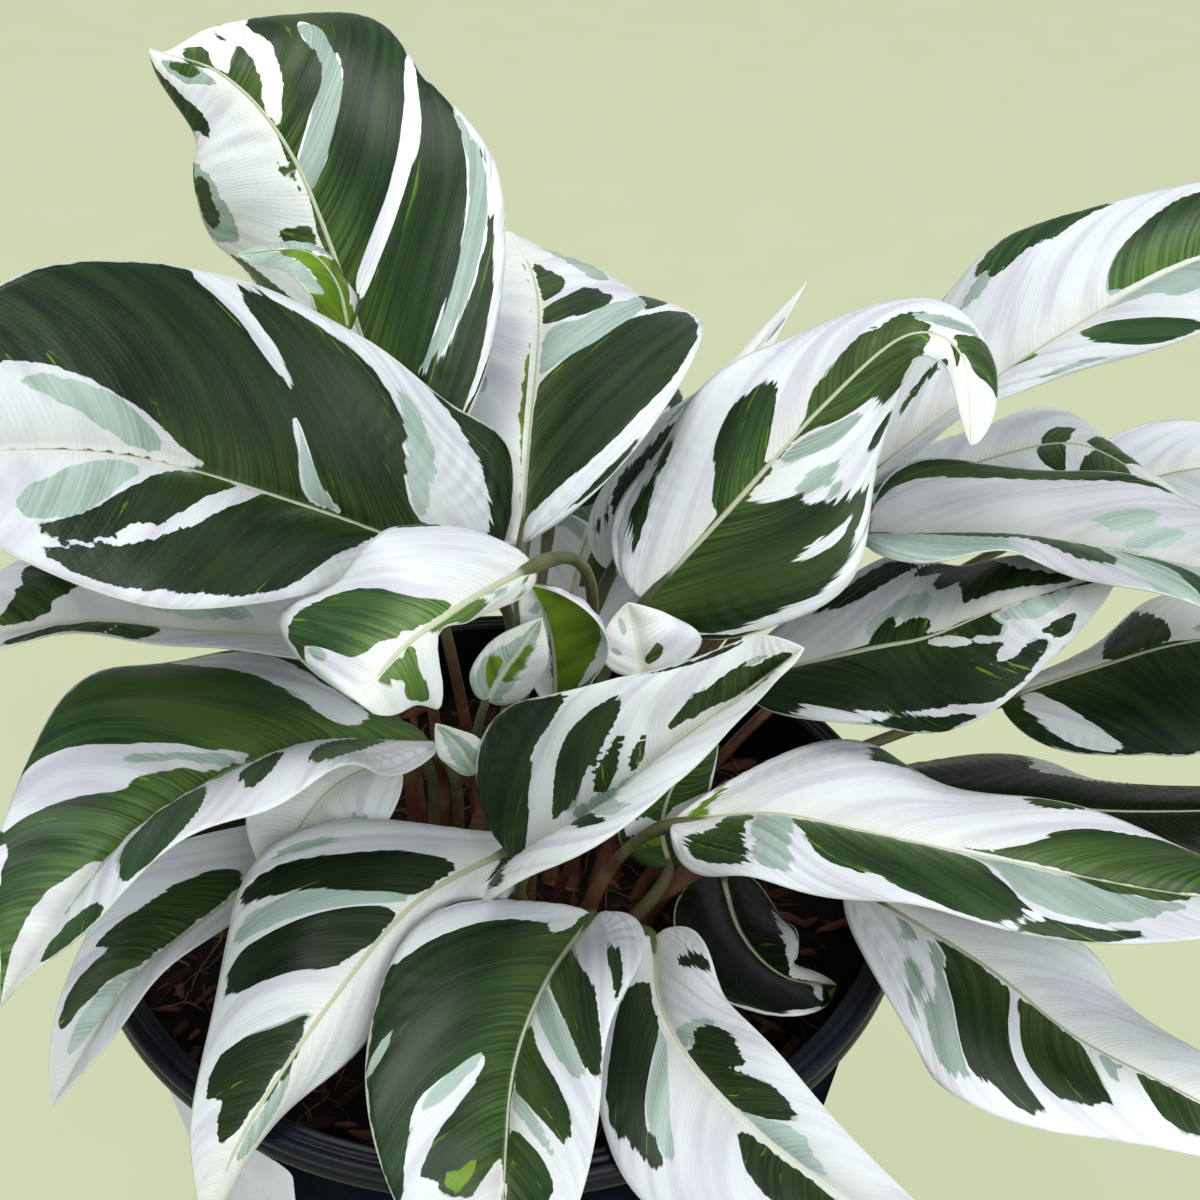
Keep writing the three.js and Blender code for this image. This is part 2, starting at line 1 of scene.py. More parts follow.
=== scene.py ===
"""A potted White Fusion prayer plant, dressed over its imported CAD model.

The tables and shapes are in millimetres, and Blender's own numbers are in metres. Leaf heights in the
table are above the pot's rim.
"""
import math
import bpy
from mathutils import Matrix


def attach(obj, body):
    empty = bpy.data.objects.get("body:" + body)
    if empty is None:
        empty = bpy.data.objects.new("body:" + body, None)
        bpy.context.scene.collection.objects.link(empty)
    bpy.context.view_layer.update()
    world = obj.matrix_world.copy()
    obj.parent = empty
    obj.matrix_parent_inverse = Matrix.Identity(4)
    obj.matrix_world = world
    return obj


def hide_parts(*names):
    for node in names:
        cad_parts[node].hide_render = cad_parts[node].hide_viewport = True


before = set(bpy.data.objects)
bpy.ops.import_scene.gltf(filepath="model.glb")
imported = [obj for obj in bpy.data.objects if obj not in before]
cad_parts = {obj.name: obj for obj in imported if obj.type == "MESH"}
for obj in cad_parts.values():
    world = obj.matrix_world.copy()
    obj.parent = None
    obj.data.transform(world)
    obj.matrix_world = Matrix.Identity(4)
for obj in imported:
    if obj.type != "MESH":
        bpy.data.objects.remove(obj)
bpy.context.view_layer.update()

from types import SimpleNamespace

import bpy
import numpy as np
from mathutils import Matrix, Vector

MM = 0.001
TURN = 2 * math.pi
rng = np.random.default_rng(11)

# The pot, its collar and the mix in it, as in the CAD.
POT_HEIGHT = 140
BASE_RADIUS = 61
BORE_RADIUS = 77
WALL = 1.5
COLLAR_UNDERSIDE = 135
FLOOR = 2.5
SOIL_HEIGHT = 123
SOIL_FLAT_RADIUS = 48
SOIL_EDGE_DROP = 2

# The mix's skin: its clearance from the pot, how far its lumps are sunk, and what lies on it.
SOIL_GAP = 0.3
SOIL_SINK = 0.4
CHIP_COUNT = 900
CHIP_CORNERS = 7
CHIP_RINGS = [(-1, 0.35), (-0.6, 0.85), (0.1, 1), (0.65, 0.8), (1, 0.3)]
CHIP_CLEARANCE = 5
FIBRE_COUNT = 260
FIBRE_STEP = 2.2
FIBRE_CLEARANCE = 8
FIBRE_END_CLEARANCE = 3

# Kinds of crumb in the mix, as its material reads them.
LUMP, BARK, FIBRE = range(3)

# How finely the pot and the mix are divided.
POT_SEGMENTS = 224
COLLAR_STEPS = 90
SOIL_SEGMENTS = 168
SOIL_RINGS = 70

# The blank sticker on the wall.
LABEL_WIDTH = 38
LABEL_HEIGHT = 50
LABEL_AZIMUTH = math.radians(-132.5)
LABEL_MIDDLE_HEIGHT = 103.5
LABEL_TILT = math.radians(8)
LABEL_CORNER = 3
LABEL_THICKNESS = 0.18
LABEL_GAP = 0.15

# Leaves: shape rules shared with the CAD.
NARROWEST = 0.15
FULL_RUFFLE_WIDTH = 8
RIGHT_WAVE_SHIFT = 0.37
STALK_FOOT_HEIGHT = SOIL_HEIGHT - 9
STALK_TOP = 0.05

# Leaves: how finely the blade and the stalk are divided.
LENGTH_STEPS = 80
COLUMNS = 20
FEW_COLUMNS = 12
ROW_SPACING = 0.95
FEWEST_ROWS = 40
MOST_ROWS = 125
ROW_CROWDING = 0.5
STALK_STEPS = 46
STALK_SIDES = 10
RIB_STEPS = 34

# The dressed blade: its thickness, and how wide and how thin its margin is.
BLADE_THICKNESS = 0.45
MARGIN_WIDTH = 3
MARGIN_THICKNESS_SHARE = 0.6

# Its relief: pleats that follow the veins, uneven patches, and a groove over the rib. Pleats and
# patches fade out towards the rib, and pleats towards the margin too.
PLEAT_PERIOD = 4.6
PLEAT_HEIGHT = 0.16
PLEAT_DRIFT = 0.9
PLEAT_FADE_AT_RIB = 4
PLEAT_FADE_AT_MARGIN = 2.5
PATCH_SIZE = 9
PATCH_HEIGHT = 0.35
PATCH_FADE_AT_RIB = 6
PATCH_SEED = 500
GROOVE_DEPTH = 0.45
GROOVE_WIDTH = 1.3

# The stalk's radii: at places up its sheath, and at places in its joint, counted back from its end.
SHEATH_PLACES = [0, 14, 34]
SHEATH_RADII = [2.1, 1.9, 1.25]
JOINT_PLACES = [14, 9, 0]
JOINT_RADII = [1.1, 1.42, 1.3]
YOUNG_STALK_SHARE = 0.62
STALK_DIP_LENGTH = 14

# The rib under the blade: where it ends, the share of its radius that hangs free, and its radii.
RIB_END = 0.94
RIB_HANG = 0.75
RIB_RADII = [(0, 1.25), (0.15, 0.95), (0.6, 0.6), (1, 0.25)]

# Side veins leave the rib slanting and bend towards the tip.
VEIN_SWEEP = 0.45
VEIN_CURVE = 1.25

# Tones of the blade, each painted over the ones before it.
WHITE, SAGE, GREEN, LIME = range(4)

# How deep a side lies inside its ground tone, and outside the others, before its patches are added.
GROUND_DEPTH = 30.0

# Noise is read this much further on for each next leaf.
SEED_SPACING = 3.7

# Material slots of a leaf.
BLADE_TOP, BLADE_UNDERSIDE, STALK = range(3)


def leaf(name, root, wave, rib, left, right, **shape):
    """A leaf: where its stalk leaves the mix, its ruffle, its rib and its two sides.

    wave is the ruffle's height, count and phase. A side is its half widths at equal steps along the
    rib, and its lift in degrees at base and tip. tone multiplies the leaf's white and its green beside
    the common ones, as painted light and shade: lighter on leaves that stand in the light, darker on
    leaves in the shade of others.
    """
    young = shape.get("young", False)
    defaults = {"tone": (1, 1), "base": 0.5, "tip": 0.75, "arch": 40, "up": (0, 0, 1), "rise": 1,
                "reach": 0.9, "columns": FEW_COLUMNS if young else COLUMNS, "young": young}
    return {"name": name, "root": root, "wave": wave, "rib": rib, "left": left, "right": right,
            **defaults, **shape}


# Each leaf's tone pair is painted light and shade, lightening or darkening its whites and greens.
LEAVES = [
    leaf("tall_left", root=(-6, 16), wave=(1.5, 2, 0), tone=(1.18, 1),
         rib=[(-18, 14, 77), (-29, 31, 107), (-40, 46, 128), (-53, 56, 139), (-68, 62, 142)],
         left=([29, 34, 36, 34, 31, 30, 30], (-80, -85)), right=([29, 33, 35, 30, 35, 19, -6], (35, 25))),
    leaf("big_left", root=(-10, 0), wave=(1.2, 2, 0.3), tone=(0.86, 0.62), base=0.4,
         rib=[(-2, 6, 61), (-33, -4, 81.5), (-61, -20, 100.5), (-92, -40, 110)],
         left=([8, 14, 24, 36, 46, 47, 40], (-1, -22)), right=([44, 30, 32, 37, 41, 44, 41], (72, 53))),
    leaf("curled_front", root=(9, 6.5), wave=(1.5, 2, 0.2), tone=(0.95, 1.7), tip=0.35, reach=1.4,
         rib=[(8, -20, 80.5), (-2, -39, 85.5), (-11, -49, 83.5), (-17, -56, 78.5)],
         left=([9, 6, 4, 2, 13, 11, 8], (-70, -70)), right=([44, 30, 21, 20.5, 22, 27, 32], (21, -8))),
    leaf("upper_middle", root=(6, 12), wave=(1, 2, 0.1), tone=(1.03, 0.75), tip=0.5,
         rib=[(4, 8, 67), (5, 23, 81), (6, 44, 94), (4, 63, 98), (-2, 81, 100)],
         left=([30, 31, 31, 28], (-45, -15)), right=([31, 33, 32, 29], (50, -40))),
    leaf("centre_right", root=(14, 5), wave=(1.2, 3, 0.2), tone=(1.03, 0.85), base=0.4, tip=0.6,
         rib=[(27, 4, 57), (42, 6, 76), (58, 11, 95), (72, 14, 108), (81, 9, 107), (82, -4, 96)],
         left=([30, 22, 14, 12], (36, -20)), right=([28, 27, 27, 17, 9, 6, 6, 5, 4], (-45, -30))),
    leaf("right_top", root=(20, 14), wave=(1.5, 2, 0.4), tone=(1, 1.5),
         rib=[(68, 30, 67), (88, 33, 85), (105, 33, 100), (128, 34, 115), (152, 30, 121)],
         left=([22, 28, 27, 28], (7, 38)), right=([11, 10, 10, 14, 27, 33, 28], (15, -15))),
    leaf("right_upper", root=(22, 7), wave=(1.5, 3, 0.1), tone=(0.69, 1), base=0.35,
         rib=[(70, 15, 66), (97, 7, 71), (116, -6, 75), (136, -19, 76), (153, -36, 72)],
         left=([21.5, 17.5, 24, 28], (38, -8)), right=([24, 16, 25, 24], (18, 5))),
    leaf("right_middle", root=(18, -1), wave=(1, 2, 0.6), tone=(0.78, 0.35),
         rib=[(47, 8, 37), (70, 0, 50), (80, -4, 56), (92, -8, 66), (109, -12, 76)],
         left=([17, 22, 20, 17], (35, -5)), right=([17, 18, 22, 20], (-25, -45))),
    leaf("right_back", root=(27, 1), wave=(1, 2, 0.2), tone=(1, 0.45),
         rib=[(98, 6, 34), (117, 7, 42), (134, 5, 50), (168, -1, 60)],
         left=([8, 12, 26, 24], (-25, 0)), right=([20, 20, 26, 24], (-25, -38))),
    leaf("right_shadow", root=(31, -2), wave=(1, 2, 0.5), tone=(0.9, 0.12),
         rib=[(69, -2, 18), (98, -8, 20), (120, -15, 24), (158, -24, 34)],
         left=([17, 21, 19, 18], (-10, -20)), right=([18, 22, 20, 18], (-25, -25))),
    leaf("right_long", root=(16, -9), wave=(1.5, 3, 0.3),
         rib=[(33.5, -17, 21), (51, -22, 28), (68, -30, 31), (90, -40, 34), (118, -54, 40),
              (138, -60, 47)],
         left=([5, 19, 22, 18, 19, 21, 22], (8, 0)), right=([26, 22, 19, 19, 22, 22, 18], (-5, 10))),
    leaf("right_low", root=(29, -7), wave=(1.2, 2, 0.7), tone=(1.2, 0.68), rise=1.8,
         rib=[(68, -19, 8), (91, -38, 6), (105, -53, 4), (122, -67, 5), (138, -79, 3)],
         left=([15, 24, 16, 14], (-18, -6)), right=([15, 24, 17, 13], (-20, -12))),
    leaf("front_right", root=(16, -24), wave=(1, 2, 0.1), tone=(0.87, 0.35),
         rib=[(30, -35, 9), (31, -50, 7), (38, -64, 5), (53, -80, 3), (80, -101, 2)],
         left=([18, 12, 14, 15], (34, 40)), right=([19, 15, 26, 15], (0, -15))),
    leaf("front_middle", root=(10, -21), wave=(1.2, 2, 0.4), tone=(0.94, 0.8),
         rib=[(19, -34, 13), (11, -53, 16), (6, -69, 12), (5, -86, 1), (4, -101, -16)],
         left=([23, 19, 20, 22], (28, 32)), right=([24, 26, 26, 23], (10, 20))),
    leaf("front_left", root=(-3, -17), wave=(1.5, 2, 0.2), tone=(0.98, 0.28),
         rib=[(6, -21, 19), (-12, -41, 23), (-25, -60, 18), (-38, -77, 5), (-45, -87, -9)],
         left=([14, 12, 10, 10, 8, 6, 4], (-70, -65)), right=([12, 22, 27, 25, 19, 12, 6], (14, 5))),
    leaf("left_middle", root=(-12, -9), wave=(1.5, 3, 0.3), tone=(0.93, 1.4),
         rib=[(-12, -14, 37), (-33, -27, 46), (-49, -42, 48), (-62, -58, 43), (-74, -74, 31)],
         left=([19, 26, 27, 20], (15, 42)), right=([25, 30, 28, 19], (0, 38))),
    leaf("left_low", root=(-19, -15), wave=(1, 2, 0.1), tone=(0.82, 0.5),
         rib=[(-35, -14, 13), (-52, -32, 10), (-64, -48, 8), (-74, -67, -2)],
         left=([14, 8, 9, 9], (22, 28)), right=([18, 18, 15, 11], (10, 14))),
    leaf("left_under", root=(-18, -3), wave=(1, 2, 0.8), tone=(0.8, 0.55),
         rib=[(-32, 3, 48), (-55, -9, 58), (-72, -20, 67), (-92, -34, 71)],
         left=([18, 9, 8, 16], (5, 10)), right=([21, 20, 20, 19], (30, 30))),
    leaf("pale_behind", root=(10, 17), wave=(0.8, 2, 0.2), tone=(1.18, 0.25), columns=FEW_COLUMNS,
         rib=[(21, 24, 51), (30, 38, 64), (44, 52, 78), (61, 68, 95)],
         left=([13, 14, 9, 3], (-10, -20)), right=([13, 14, 9, 3], (-10, 5))),
    leaf("right_wavy", root=(26, 13), wave=(2.5, 2, 0.2), tone=(1.2, 0.9), columns=FEW_COLUMNS,
         rib=[(80, 39, 61), (99, 40, 70), (115, 36, 75), (132, 22, 70)],
         left=([20, 25, 17, 15], (-5, -20)), right=([20, 25, 17, 15], (-20, -25))),
    leaf("right_far", root=(31, 10), wave=(1, 2, 0.5), tone=(1.18, 1),
         rib=[(111, 40, 53), (135, 44, 64), (158, 40, 69), (177, 32, 69)],
         left=([20, 21, 21, 20], (-5, 0)), right=([20, 21, 21, 20], (-15, -28))),
    leaf("front_dark", root=(40, 9), wave=(1, 2, 0.3), tone=(0.85, 0.08), columns=FEW_COLUMNS,
         rib=[(45.5, 1.5, -9), (48, -19, -6), (55, -31, -5), (66, -31, -8)],
         left=([11, 11, 8, 8], (0, -5)), right=([12, 14, 17, 14], (10, 10))),
    leaf("centre_front", root=(5, -22), wave=(0.8, 2, 0.3), tone=(1, 0.5), base=0.35, reach=0.45,
         rib=[(5, -34, 25), (20, -42, 46), (32, -45, 63), (44, -47, 77), (50, -49, 85)],
         left=([32, 21, 12, 16], (75, 74)), right=([26, 20, 17, 12, 9, 10, 14], (10, -10))),
    leaf("crown_dark", root=(16, -17), wave=(0.5, 2, 0.3), up=(0, -1, 0), columns=FEW_COLUMNS,
         rib=[(34, -10, 3), (32, -10, 13), (34, -9.5, 24), (41, -10, 39)],
         left=([8, 9, 9, 9], (10, 10)), right=([8, 9, 9, 9], (10, 10))),
    leaf("left_pale", root=(-17, -8), wave=(1, 2, 0.3), columns=FEW_COLUMNS,
         rib=[(-19, -11, 31), (-30, -16, 28), (-36, -23, 24), (-41, -32, 19)],
         left=([14, 15, 14, 13], (-25, -10)), right=([14, 15, 14, 13], (20, 5))),
    leaf("new_roll", root=(5, -1), wave=(0, 2, 0), tip=0.45, arch=-110, up=(0, -1, 0), young=True,
         rib=[(11, -16, 47), (11, -16.6, 57), (10, -16.6, 66), (7, -16.6, 74)],
         left=([6, 7, 6, 6], (-10, -10)), right=([9, 11, 16, 15], (35, 35))),
    leaf("new_white", root=(10, 0), wave=(0.5, 2, 0), up=(0, -1, 0.2), young=True,
         rib=[(27, -12, 52), (26, -11, 57), (25, -9, 61), (24, -8, 65)],
         left=([6, 7, 6, 5], (10, 0)), right=([14, 12, 9, 7], (0, 0))),
    leaf("new_point", root=(6, -7), wave=(0.5, 2, 0.5), up=(0, -1, 0), young=True,
         rib=[(-1, -18.5, 50), (2, -19.5, 57), (6, -20, 64), (9, -19, 69)],
         left=([5, 6, 6, 4], (10, 10)), right=([5, 6, 6, 4], (10, 10))),
    leaf("new_lime", root=(-18, 10), wave=(0.5, 2, 0), young=True,
         rib=[(-27, 20, 104), (-29, 22, 113), (-35, 24, 118), (-47, 26, 116)],
         left=([9, 9, 9, 7], (25, -30)), right=([9, 9, 9, 7], (-50, 0))),
    leaf("new_pale", root=(-7.5, -12), wave=(0.5, 2, 0.2), up=(0, -1, 0), young=True,
         rib=[(-3, -21, 35), (-6, -22.5, 43), (-9.5, -25, 50)],
         left=([3, 4, 4, 3], (10, 10)), right=([5, 5, 5, 4], (10, 10))),
    leaf("back_left", root=(-15, 22), wave=(1.2, 2, 0.1),
         rib=[(-30, 40, 55), (-52, 62, 60), (-72, 82, 56), (-88, 98, 44)],
         left=([26, 28, 26, 22], (15, 10)), right=([26, 28, 26, 22], (15, 10))),
    leaf("back_low_left", root=(-20, 24), wave=(1, 2, 0.5),
         rib=[(-38, 52, 20), (-62, 78, 24), (-84, 100, 18), (-100, 116, 6)],
         left=([24, 26, 24, 20], (12, 10)), right=([24, 26, 24, 20], (12, 10))),
    leaf("back_far", root=(-1, 24), wave=(1.3, 2, 0.3),
         rib=[(8, 48, 50), (8, 72, 58), (6, 98, 56), (4, 120, 46)],
         left=([27, 30, 27, 22], (12, 10)), right=([27, 30, 27, 22], (12, 10))),
    leaf("back_mid", root=(6, 27), wave=(1, 3, 0.2),
         rib=[(10, 44, 17), (15, 70, 28), (21, 100, 23), (25, 126, 8)],
         left=([25, 27, 25, 20], (10, 10)), right=([25, 27, 25, 20], (10, 10))),
    leaf("back_right", root=(19, 23), wave=(1.2, 2, 0.6),
         rib=[(40, 46, 40), (60, 68, 47), (78, 90, 45), (94, 108, 35)],
         left=([26, 28, 25, 21], (10, 10)), right=([26, 28, 25, 21], (12, 10))),
]

# Each leaf's markings: the ground and the patches of its left side, then those of its right side. A patch
# is a tone and an outline of points: per cent along the rib, measured where the vein through the point
# leaves it, and per cent from the rib to the margin. Later patches cover earlier ones.
MARKINGS = {
    "tall_left": (WHITE, [
        (SAGE, [(14, 101), (16, 88), (24, 68), (34, 62), (44, 61), (52, 66), (58, 78), (60, 101)]),
        (GREEN, [(22, 90), (27, 84), (30, 76), (36, 74), (42, 70), (50, 70), (53, 82), (50, 92), (38, 95),
            (28, 96)]),
        (GREEN, [(62, 46), (66, 56), (71, 62), (74, 80), (78, 101), (101, 101), (101, 64), (96, 56),
            (90, 46), (84, 50), (76, 43), (68, 43)]),
        (SAGE, [(74, 10), (80, 20), (84, 28), (92, 34), (95, 24), (93, 10), (86, 3), (80, 6)]),
        (GREEN, [(80, 10), (86, 22), (92, 24), (92, 10), (86, 5)]),
        (GREEN, [(30, 36), (33, 30), (36, 10), (34, 3), (31, 10)]),
        (GREEN, [(44, 11), (49, 12), (48, 4), (41, 4)]),
        (GREEN, [(44, 90), (60, 88), (84, 88), (86, 101), (44, 101)]),
        (GREEN, [(0, 0), (14, 0), (16, 50), (8, 101), (0, 101)]),
    ], GREEN, [
        (WHITE, [(-60, 86), (-40, 91), (-20, 94), (-4, 96), (3, 101), (-60, 101)]),
        (SAGE, [(-1, 34), (-6, 46), (-12, 57), (-17, 70), (-21, 82), (-19, 90), (-8, 96), (1, 100),
            (2, 96), (-1, 88), (-6, 78), (-8, 68), (-6, 56), (-3, 45)]),
        (WHITE, [(21, 6), (21, 31), (20, 54), (17, 73), (14, 98), (16, 101), (21, 98), (22, 81), (24, 61),
            (25, 35), (25, 15), (24, 6)]),
        (SAGE, [(41, -2), (42, 20), (43, 46), (46, 55), (52, 60), (55, 70), (59, 74), (61, 60), (57, 49),
            (51, 42), (50, 28), (49, 14), (47, -2)]),
        (WHITE, [(54, 2), (58, 14), (62, 26), (67, 42), (70, 56), (70, 74), (66, 96), (60, 101),
            (72, 101), (77, 80), (78, 60), (75, 40), (70, 24), (64, 8), (61, 2)]),
        (WHITE, [(73, 3), (75, 16), (75, 36), (78, 50), (78, 70), (72, 101), (101, 101), (101, 50),
            (84, 42), (82, 30), (80, 14), (79, 3)]),
        (WHITE, [(88, 1), (90, 14), (89, 26), (86, 40), (101, 50), (101, 1)]),
    ]),
    "big_left": (WHITE, [
        (GREEN, [(2, 92), (5, 73), (9, 50), (15, 27), (20, 6), (28, 1), (40, 1), (41, 23), (44, 42),
            (48, 58), (57, 70), (67, 81), (72, 89), (55, 95), (39, 92), (19, 97)]),
        (GREEN, [(45, 8), (47, 27), (51, 46), (54, 60), (58, 56), (61, 68), (67, 74), (72, 76), (73, 68),
            (67, 58), (63, 38), (59, 19), (54, 5), (48, 3)]),
        (SAGE, [(60, 14), (64, 38), (68, 58), (74, 68), (78, 58), (77, 40), (72, 22), (66, 10)]),
        (GREEN, [(82, 30), (84, 70), (90, 96), (98, 80), (94, 36)]),
    ], GREEN, [
        (WHITE, [(-3, 25), (-13, 42), (-24, 65), (-35, 85), (-46, 101), (-3, 101), (-4, 92), (-12, 86),
            (-6, 70), (0, 52), (5, 36), (11, 20), (8, 18)]),
        (SAGE, [(8, 22), (4, 36), (-4, 52), (-14, 70), (-22, 86), (-18, 88), (-8, 72), (2, 54), (8, 38),
            (11, 22)]),
        (SAGE, [(27, 3), (30, 16), (30, 36), (29, 42), (31, 40), (33, 20), (34, 10), (32, 3)]),
        (WHITE, [(-16, 84), (-6, 91), (4, 94), (16, 96), (21, 101), (-16, 101)]),
        (WHITE, [(27, 50), (23, 70), (21, 86), (16, 96), (22, 101), (26, 99), (27, 84), (29, 66)]),
        (WHITE, [(46, 1), (54, 7), (59, 22), (65, 36), (73, 52), (79, 60), (86, 52), (101, 30),
            (101, 0)]),
        (SAGE, [(56, 4), (60, 20), (66, 36), (72, 44), (76, 40), (70, 22), (64, 6)]),
    ]),
    "curled_front": (WHITE, [
        (GREEN, [(-14, 98), (-4, 80), (5, 56), (15, 33), (25, 14), (30, 3), (51, 2), (52, 12), (45, 37),
            (37, 56), (25, 75), (15, 95), (10, 101)]),
        (SAGE, [(0, 50), (8, 40), (18, 22), (26, 6), (20, 8), (8, 28), (-2, 46)]),
        (GREEN, [(59, 3), (60, 20), (62, 34), (58, 60), (58, 78), (64, 84), (72, 80), (77, 66), (76, 44),
            (73, 32), (80, 20), (86, 8), (84, 2)]),
        (LIME, [(-60, 96), (-40, 88), (-20, 62), (-6, 34), (-4, 30), (-18, 56), (-38, 82), (-56, 92)]),
    ], WHITE, [
        (GREEN, [(36, 2), (39, 17), (41, 36), (40, 55), (40, 74), (43, 84), (52, 86), (64, 84), (76, 84),
            (86, 88), (93, 84), (93, 74), (86, 68), (84, 54), (83, 35), (81, 20), (68, 12), (52, 3)]),
        (SAGE, [(84, 52), (86, 38), (91, 42), (92, 58), (87, 64)]),
        (GREEN, [(-60, 97), (-40, 84), (-28, 80), (-34, 96), (-50, 101), (-60, 101)]),
    ]),
    "upper_middle": (WHITE, [
        (LIME, [(4, 3), (20, 6), (36, 8), (50, 5), (50, 2), (20, 2)]),
        (GREEN, [(50, 3), (70, 5), (84, 5), (84, 1), (50, 1)]),
        (SAGE, [(24, 40), (34, 34), (46, 48), (40, 70), (28, 66)]),
        (GREEN, [(48, 30), (58, 36), (66, 60), (60, 88), (50, 80), (52, 50)]),
    ], WHITE, [
        (GREEN, [(3, 2), (-2, 25), (-8, 44), (-15, 63), (-21, 80), (-15, 95), (5, 98), (22, 94), (28, 82),
            (31, 66), (34, 52), (33, 40), (36, 25), (37, 4), (30, 1), (8, 1)]),
        (GREEN, [(-60, 90), (-40, 89), (-36, 96), (-50, 101), (-60, 101)]),
        (SAGE, [(37, 3), (36, 25), (33, 40), (34, 56), (36, 70), (42, 84), (51, 84), (48, 66), (44, 56),
            (46, 44), (45, 28), (48, 17), (49, 3)]),
        (GREEN, [(33, 64), (42, 68), (46, 64), (52, 74), (50, 84), (40, 88), (34, 80)]),
        (GREEN, [(50, 3), (49, 18), (46, 30), (46, 44), (50, 48), (56, 42), (60, 32), (58, 20), (57, 6),
            (55, 2)]),
        (GREEN, [(59, 2), (60, 14), (64, 20), (70, 18), (78, 8), (80, 2)]),
        (SAGE, [(62, 40), (74, 34), (88, 30), (94, 50), (80, 66), (66, 60)]),
        (LIME, [(80, 70), (96, 60), (98, 92), (86, 96)]),
    ]),
    "centre_right": (WHITE, [
        (GREEN, [(8, 62), (12, 60), (16, 58), (21, 55), (27, 42), (29, 28), (29, 12), (28, 4), (24, 1),
            (18, 2), (15, 24), (12, 38), (9, 50)]),
        (GREEN, [(37, 4), (38, 20), (40, 18), (46, 32), (48, 38), (49, 26), (51, 30), (53, 44), (60, 42),
            (66, 14), (67, 1), (36, 1)]),
        (SAGE, [(54, 44), (60, 42), (63, 60), (62, 84), (67, 74), (71, 40), (70, 20), (64, 18),
            (57, 32)]),
        (GREEN, [(73, 8), (72, 40), (68, 70), (62, 101), (84, 101), (84, 60), (86, 20), (80, 2)]),
        (GREEN, [(-38, 76), (-24, 62), (-16, 44), (-14, 52), (-20, 70), (-30, 82)]),
        (GREEN, [(-40, 94), (-28, 78), (-18, 72), (-28, 90)]),
    ], GREEN, [
        (WHITE, [(22, 4), (21, 20), (19, 34), (15, 50), (8, 63), (2, 77), (-4, 90), (-8, 101), (14, 101),
            (20, 82), (28, 66), (33, 50), (34, 30), (35, 4)]),
        (SAGE, [(28, 5), (28, 30), (26, 46), (29, 56), (33, 48), (34, 30), (34, 5)]),
        (SAGE, [(21, 30), (19, 36), (15, 50), (8, 63), (11, 66), (18, 56), (23, 42), (24, 30)]),
        (GREEN, [(2, 99), (6, 84), (14, 78), (17, 74), (13, 86), (7, 99)]),
        (WHITE, [(-1, 60), (-8, 76), (-12, 86), (-10, 86), (-3, 74), (1, 62)]),
        (WHITE, [(66, 2), (65, 30), (58, 60), (45, 90), (36, 101), (101, 101), (101, 1)]),
        (GREEN, [(62, 101), (67, 80), (73, 66), (73, 78), (68, 101)]),
        (GREEN, [(74, 3), (76, 30), (80, 54), (81, 34), (80, 3)]),
        (WHITE, [(-60, 86), (-40, 89), (-20, 91), (-8, 92), (2, 90), (10, 101), (-60, 101)]),
    ]),
    "right_top": (WHITE, [
        (GREEN, [(4, 84), (15, 80), (22, 65), (27, 70), (33, 82), (38, 74), (41, 90), (50, 101),
            (6, 101)]),
        (SAGE, [(10, 66), (14, 78), (20, 78), (23, 66), (18, 60)]),
        (GREEN, [(3, 34), (7, 44), (13, 42), (17, 33), (11, 36), (7, 28)]),
        (GREEN, [(60, 2), (59, 25), (62, 50), (66, 77), (71, 82), (77, 60), (86, 56), (92, 20), (84, 2)]),
    ], WHITE, [
        (LIME, [(36, 3), (43, 3), (42, 14), (37, 36), (34, 28), (36, 12)]),
        (GREEN, [(48, 28), (44, 44), (38, 66), (32, 90), (34, 96), (48, 98), (51, 70), (51, 52),
            (50, 34)]),
        (SAGE, [(57, 4), (58, 20), (62, 30), (60, 56), (66, 60), (71, 34), (75, 20), (75, 4)]),
        (GREEN, [(76, 4), (76, 30), (70, 66), (80, 66), (88, 44), (92, 14), (84, 3)]),
        (SAGE, [(4, 88), (14, 85), (26, 88), (22, 93), (8, 94)]),
    ]),
    "right_upper": (WHITE, [
        (GREEN, [(-70, 101), (-74, 62), (-66, 74), (-56, 60), (-48, 70), (-42, 60), (-34, 72), (-20, 68),
            (-10, 76), (2, 86), (10, 95), (12, 101)]),
        (SAGE, [(28, 60), (36, 52), (41, 36), (38, 20), (30, 28), (28, 44)]),
        (SAGE, [(40, 40), (48, 40), (51, 12), (43, 5)]),
        (SAGE, [(56, 60), (64, 66), (74, 44), (70, 10), (60, 14)]),
        (GREEN, [(78, 10), (80, 50), (90, 60), (95, 20)]),
    ], SAGE, [
        (GREEN, [(0, 12), (15, 10), (30, 15), (38, 10), (36, 48), (30, 63), (20, 70), (0, 74)]),
        (WHITE, [(-20, 92), (-6, 70), (2, 58), (10, 68), (24, 72), (34, 58), (30, 78), (22, 101),
            (-20, 101)]),
        (GREEN, [(42, 10), (46, 50), (38, 101), (46, 101), (52, 54), (50, 8)]),
        (WHITE, [(60, 4), (66, 50), (58, 101), (74, 101), (82, 40), (70, 4)]),
    ]),
    "right_middle": (WHITE, [
        (GREEN, [(-26, 84), (-14, 62), (0, 56), (5, 58), (9, 70), (11, 84), (4, 86), (-12, 90)]),
        (GREEN, [(13, 92), (16, 68), (22, 66), (28, 74), (30, 84), (26, 97), (15, 101)]),
        (GREEN, [(27, 98), (33, 72), (40, 54), (46, 46), (49, 60), (56, 44), (60, 22), (72, 24), (80, 20),
            (90, 12), (88, 36), (76, 58), (64, 76), (52, 90), (40, 101)]),
        (SAGE, [(18, 18), (19, 36), (25, 42), (36, 48), (44, 40), (47, 28), (44, 24), (34, 20), (26, 26),
            (24, 10)]),
        (GREEN, [(24, 5), (25, 24), (30, 25), (30, 16), (37, 20), (48, 20), (51, 10), (49, 3), (44, 1),
            (28, 1)]),
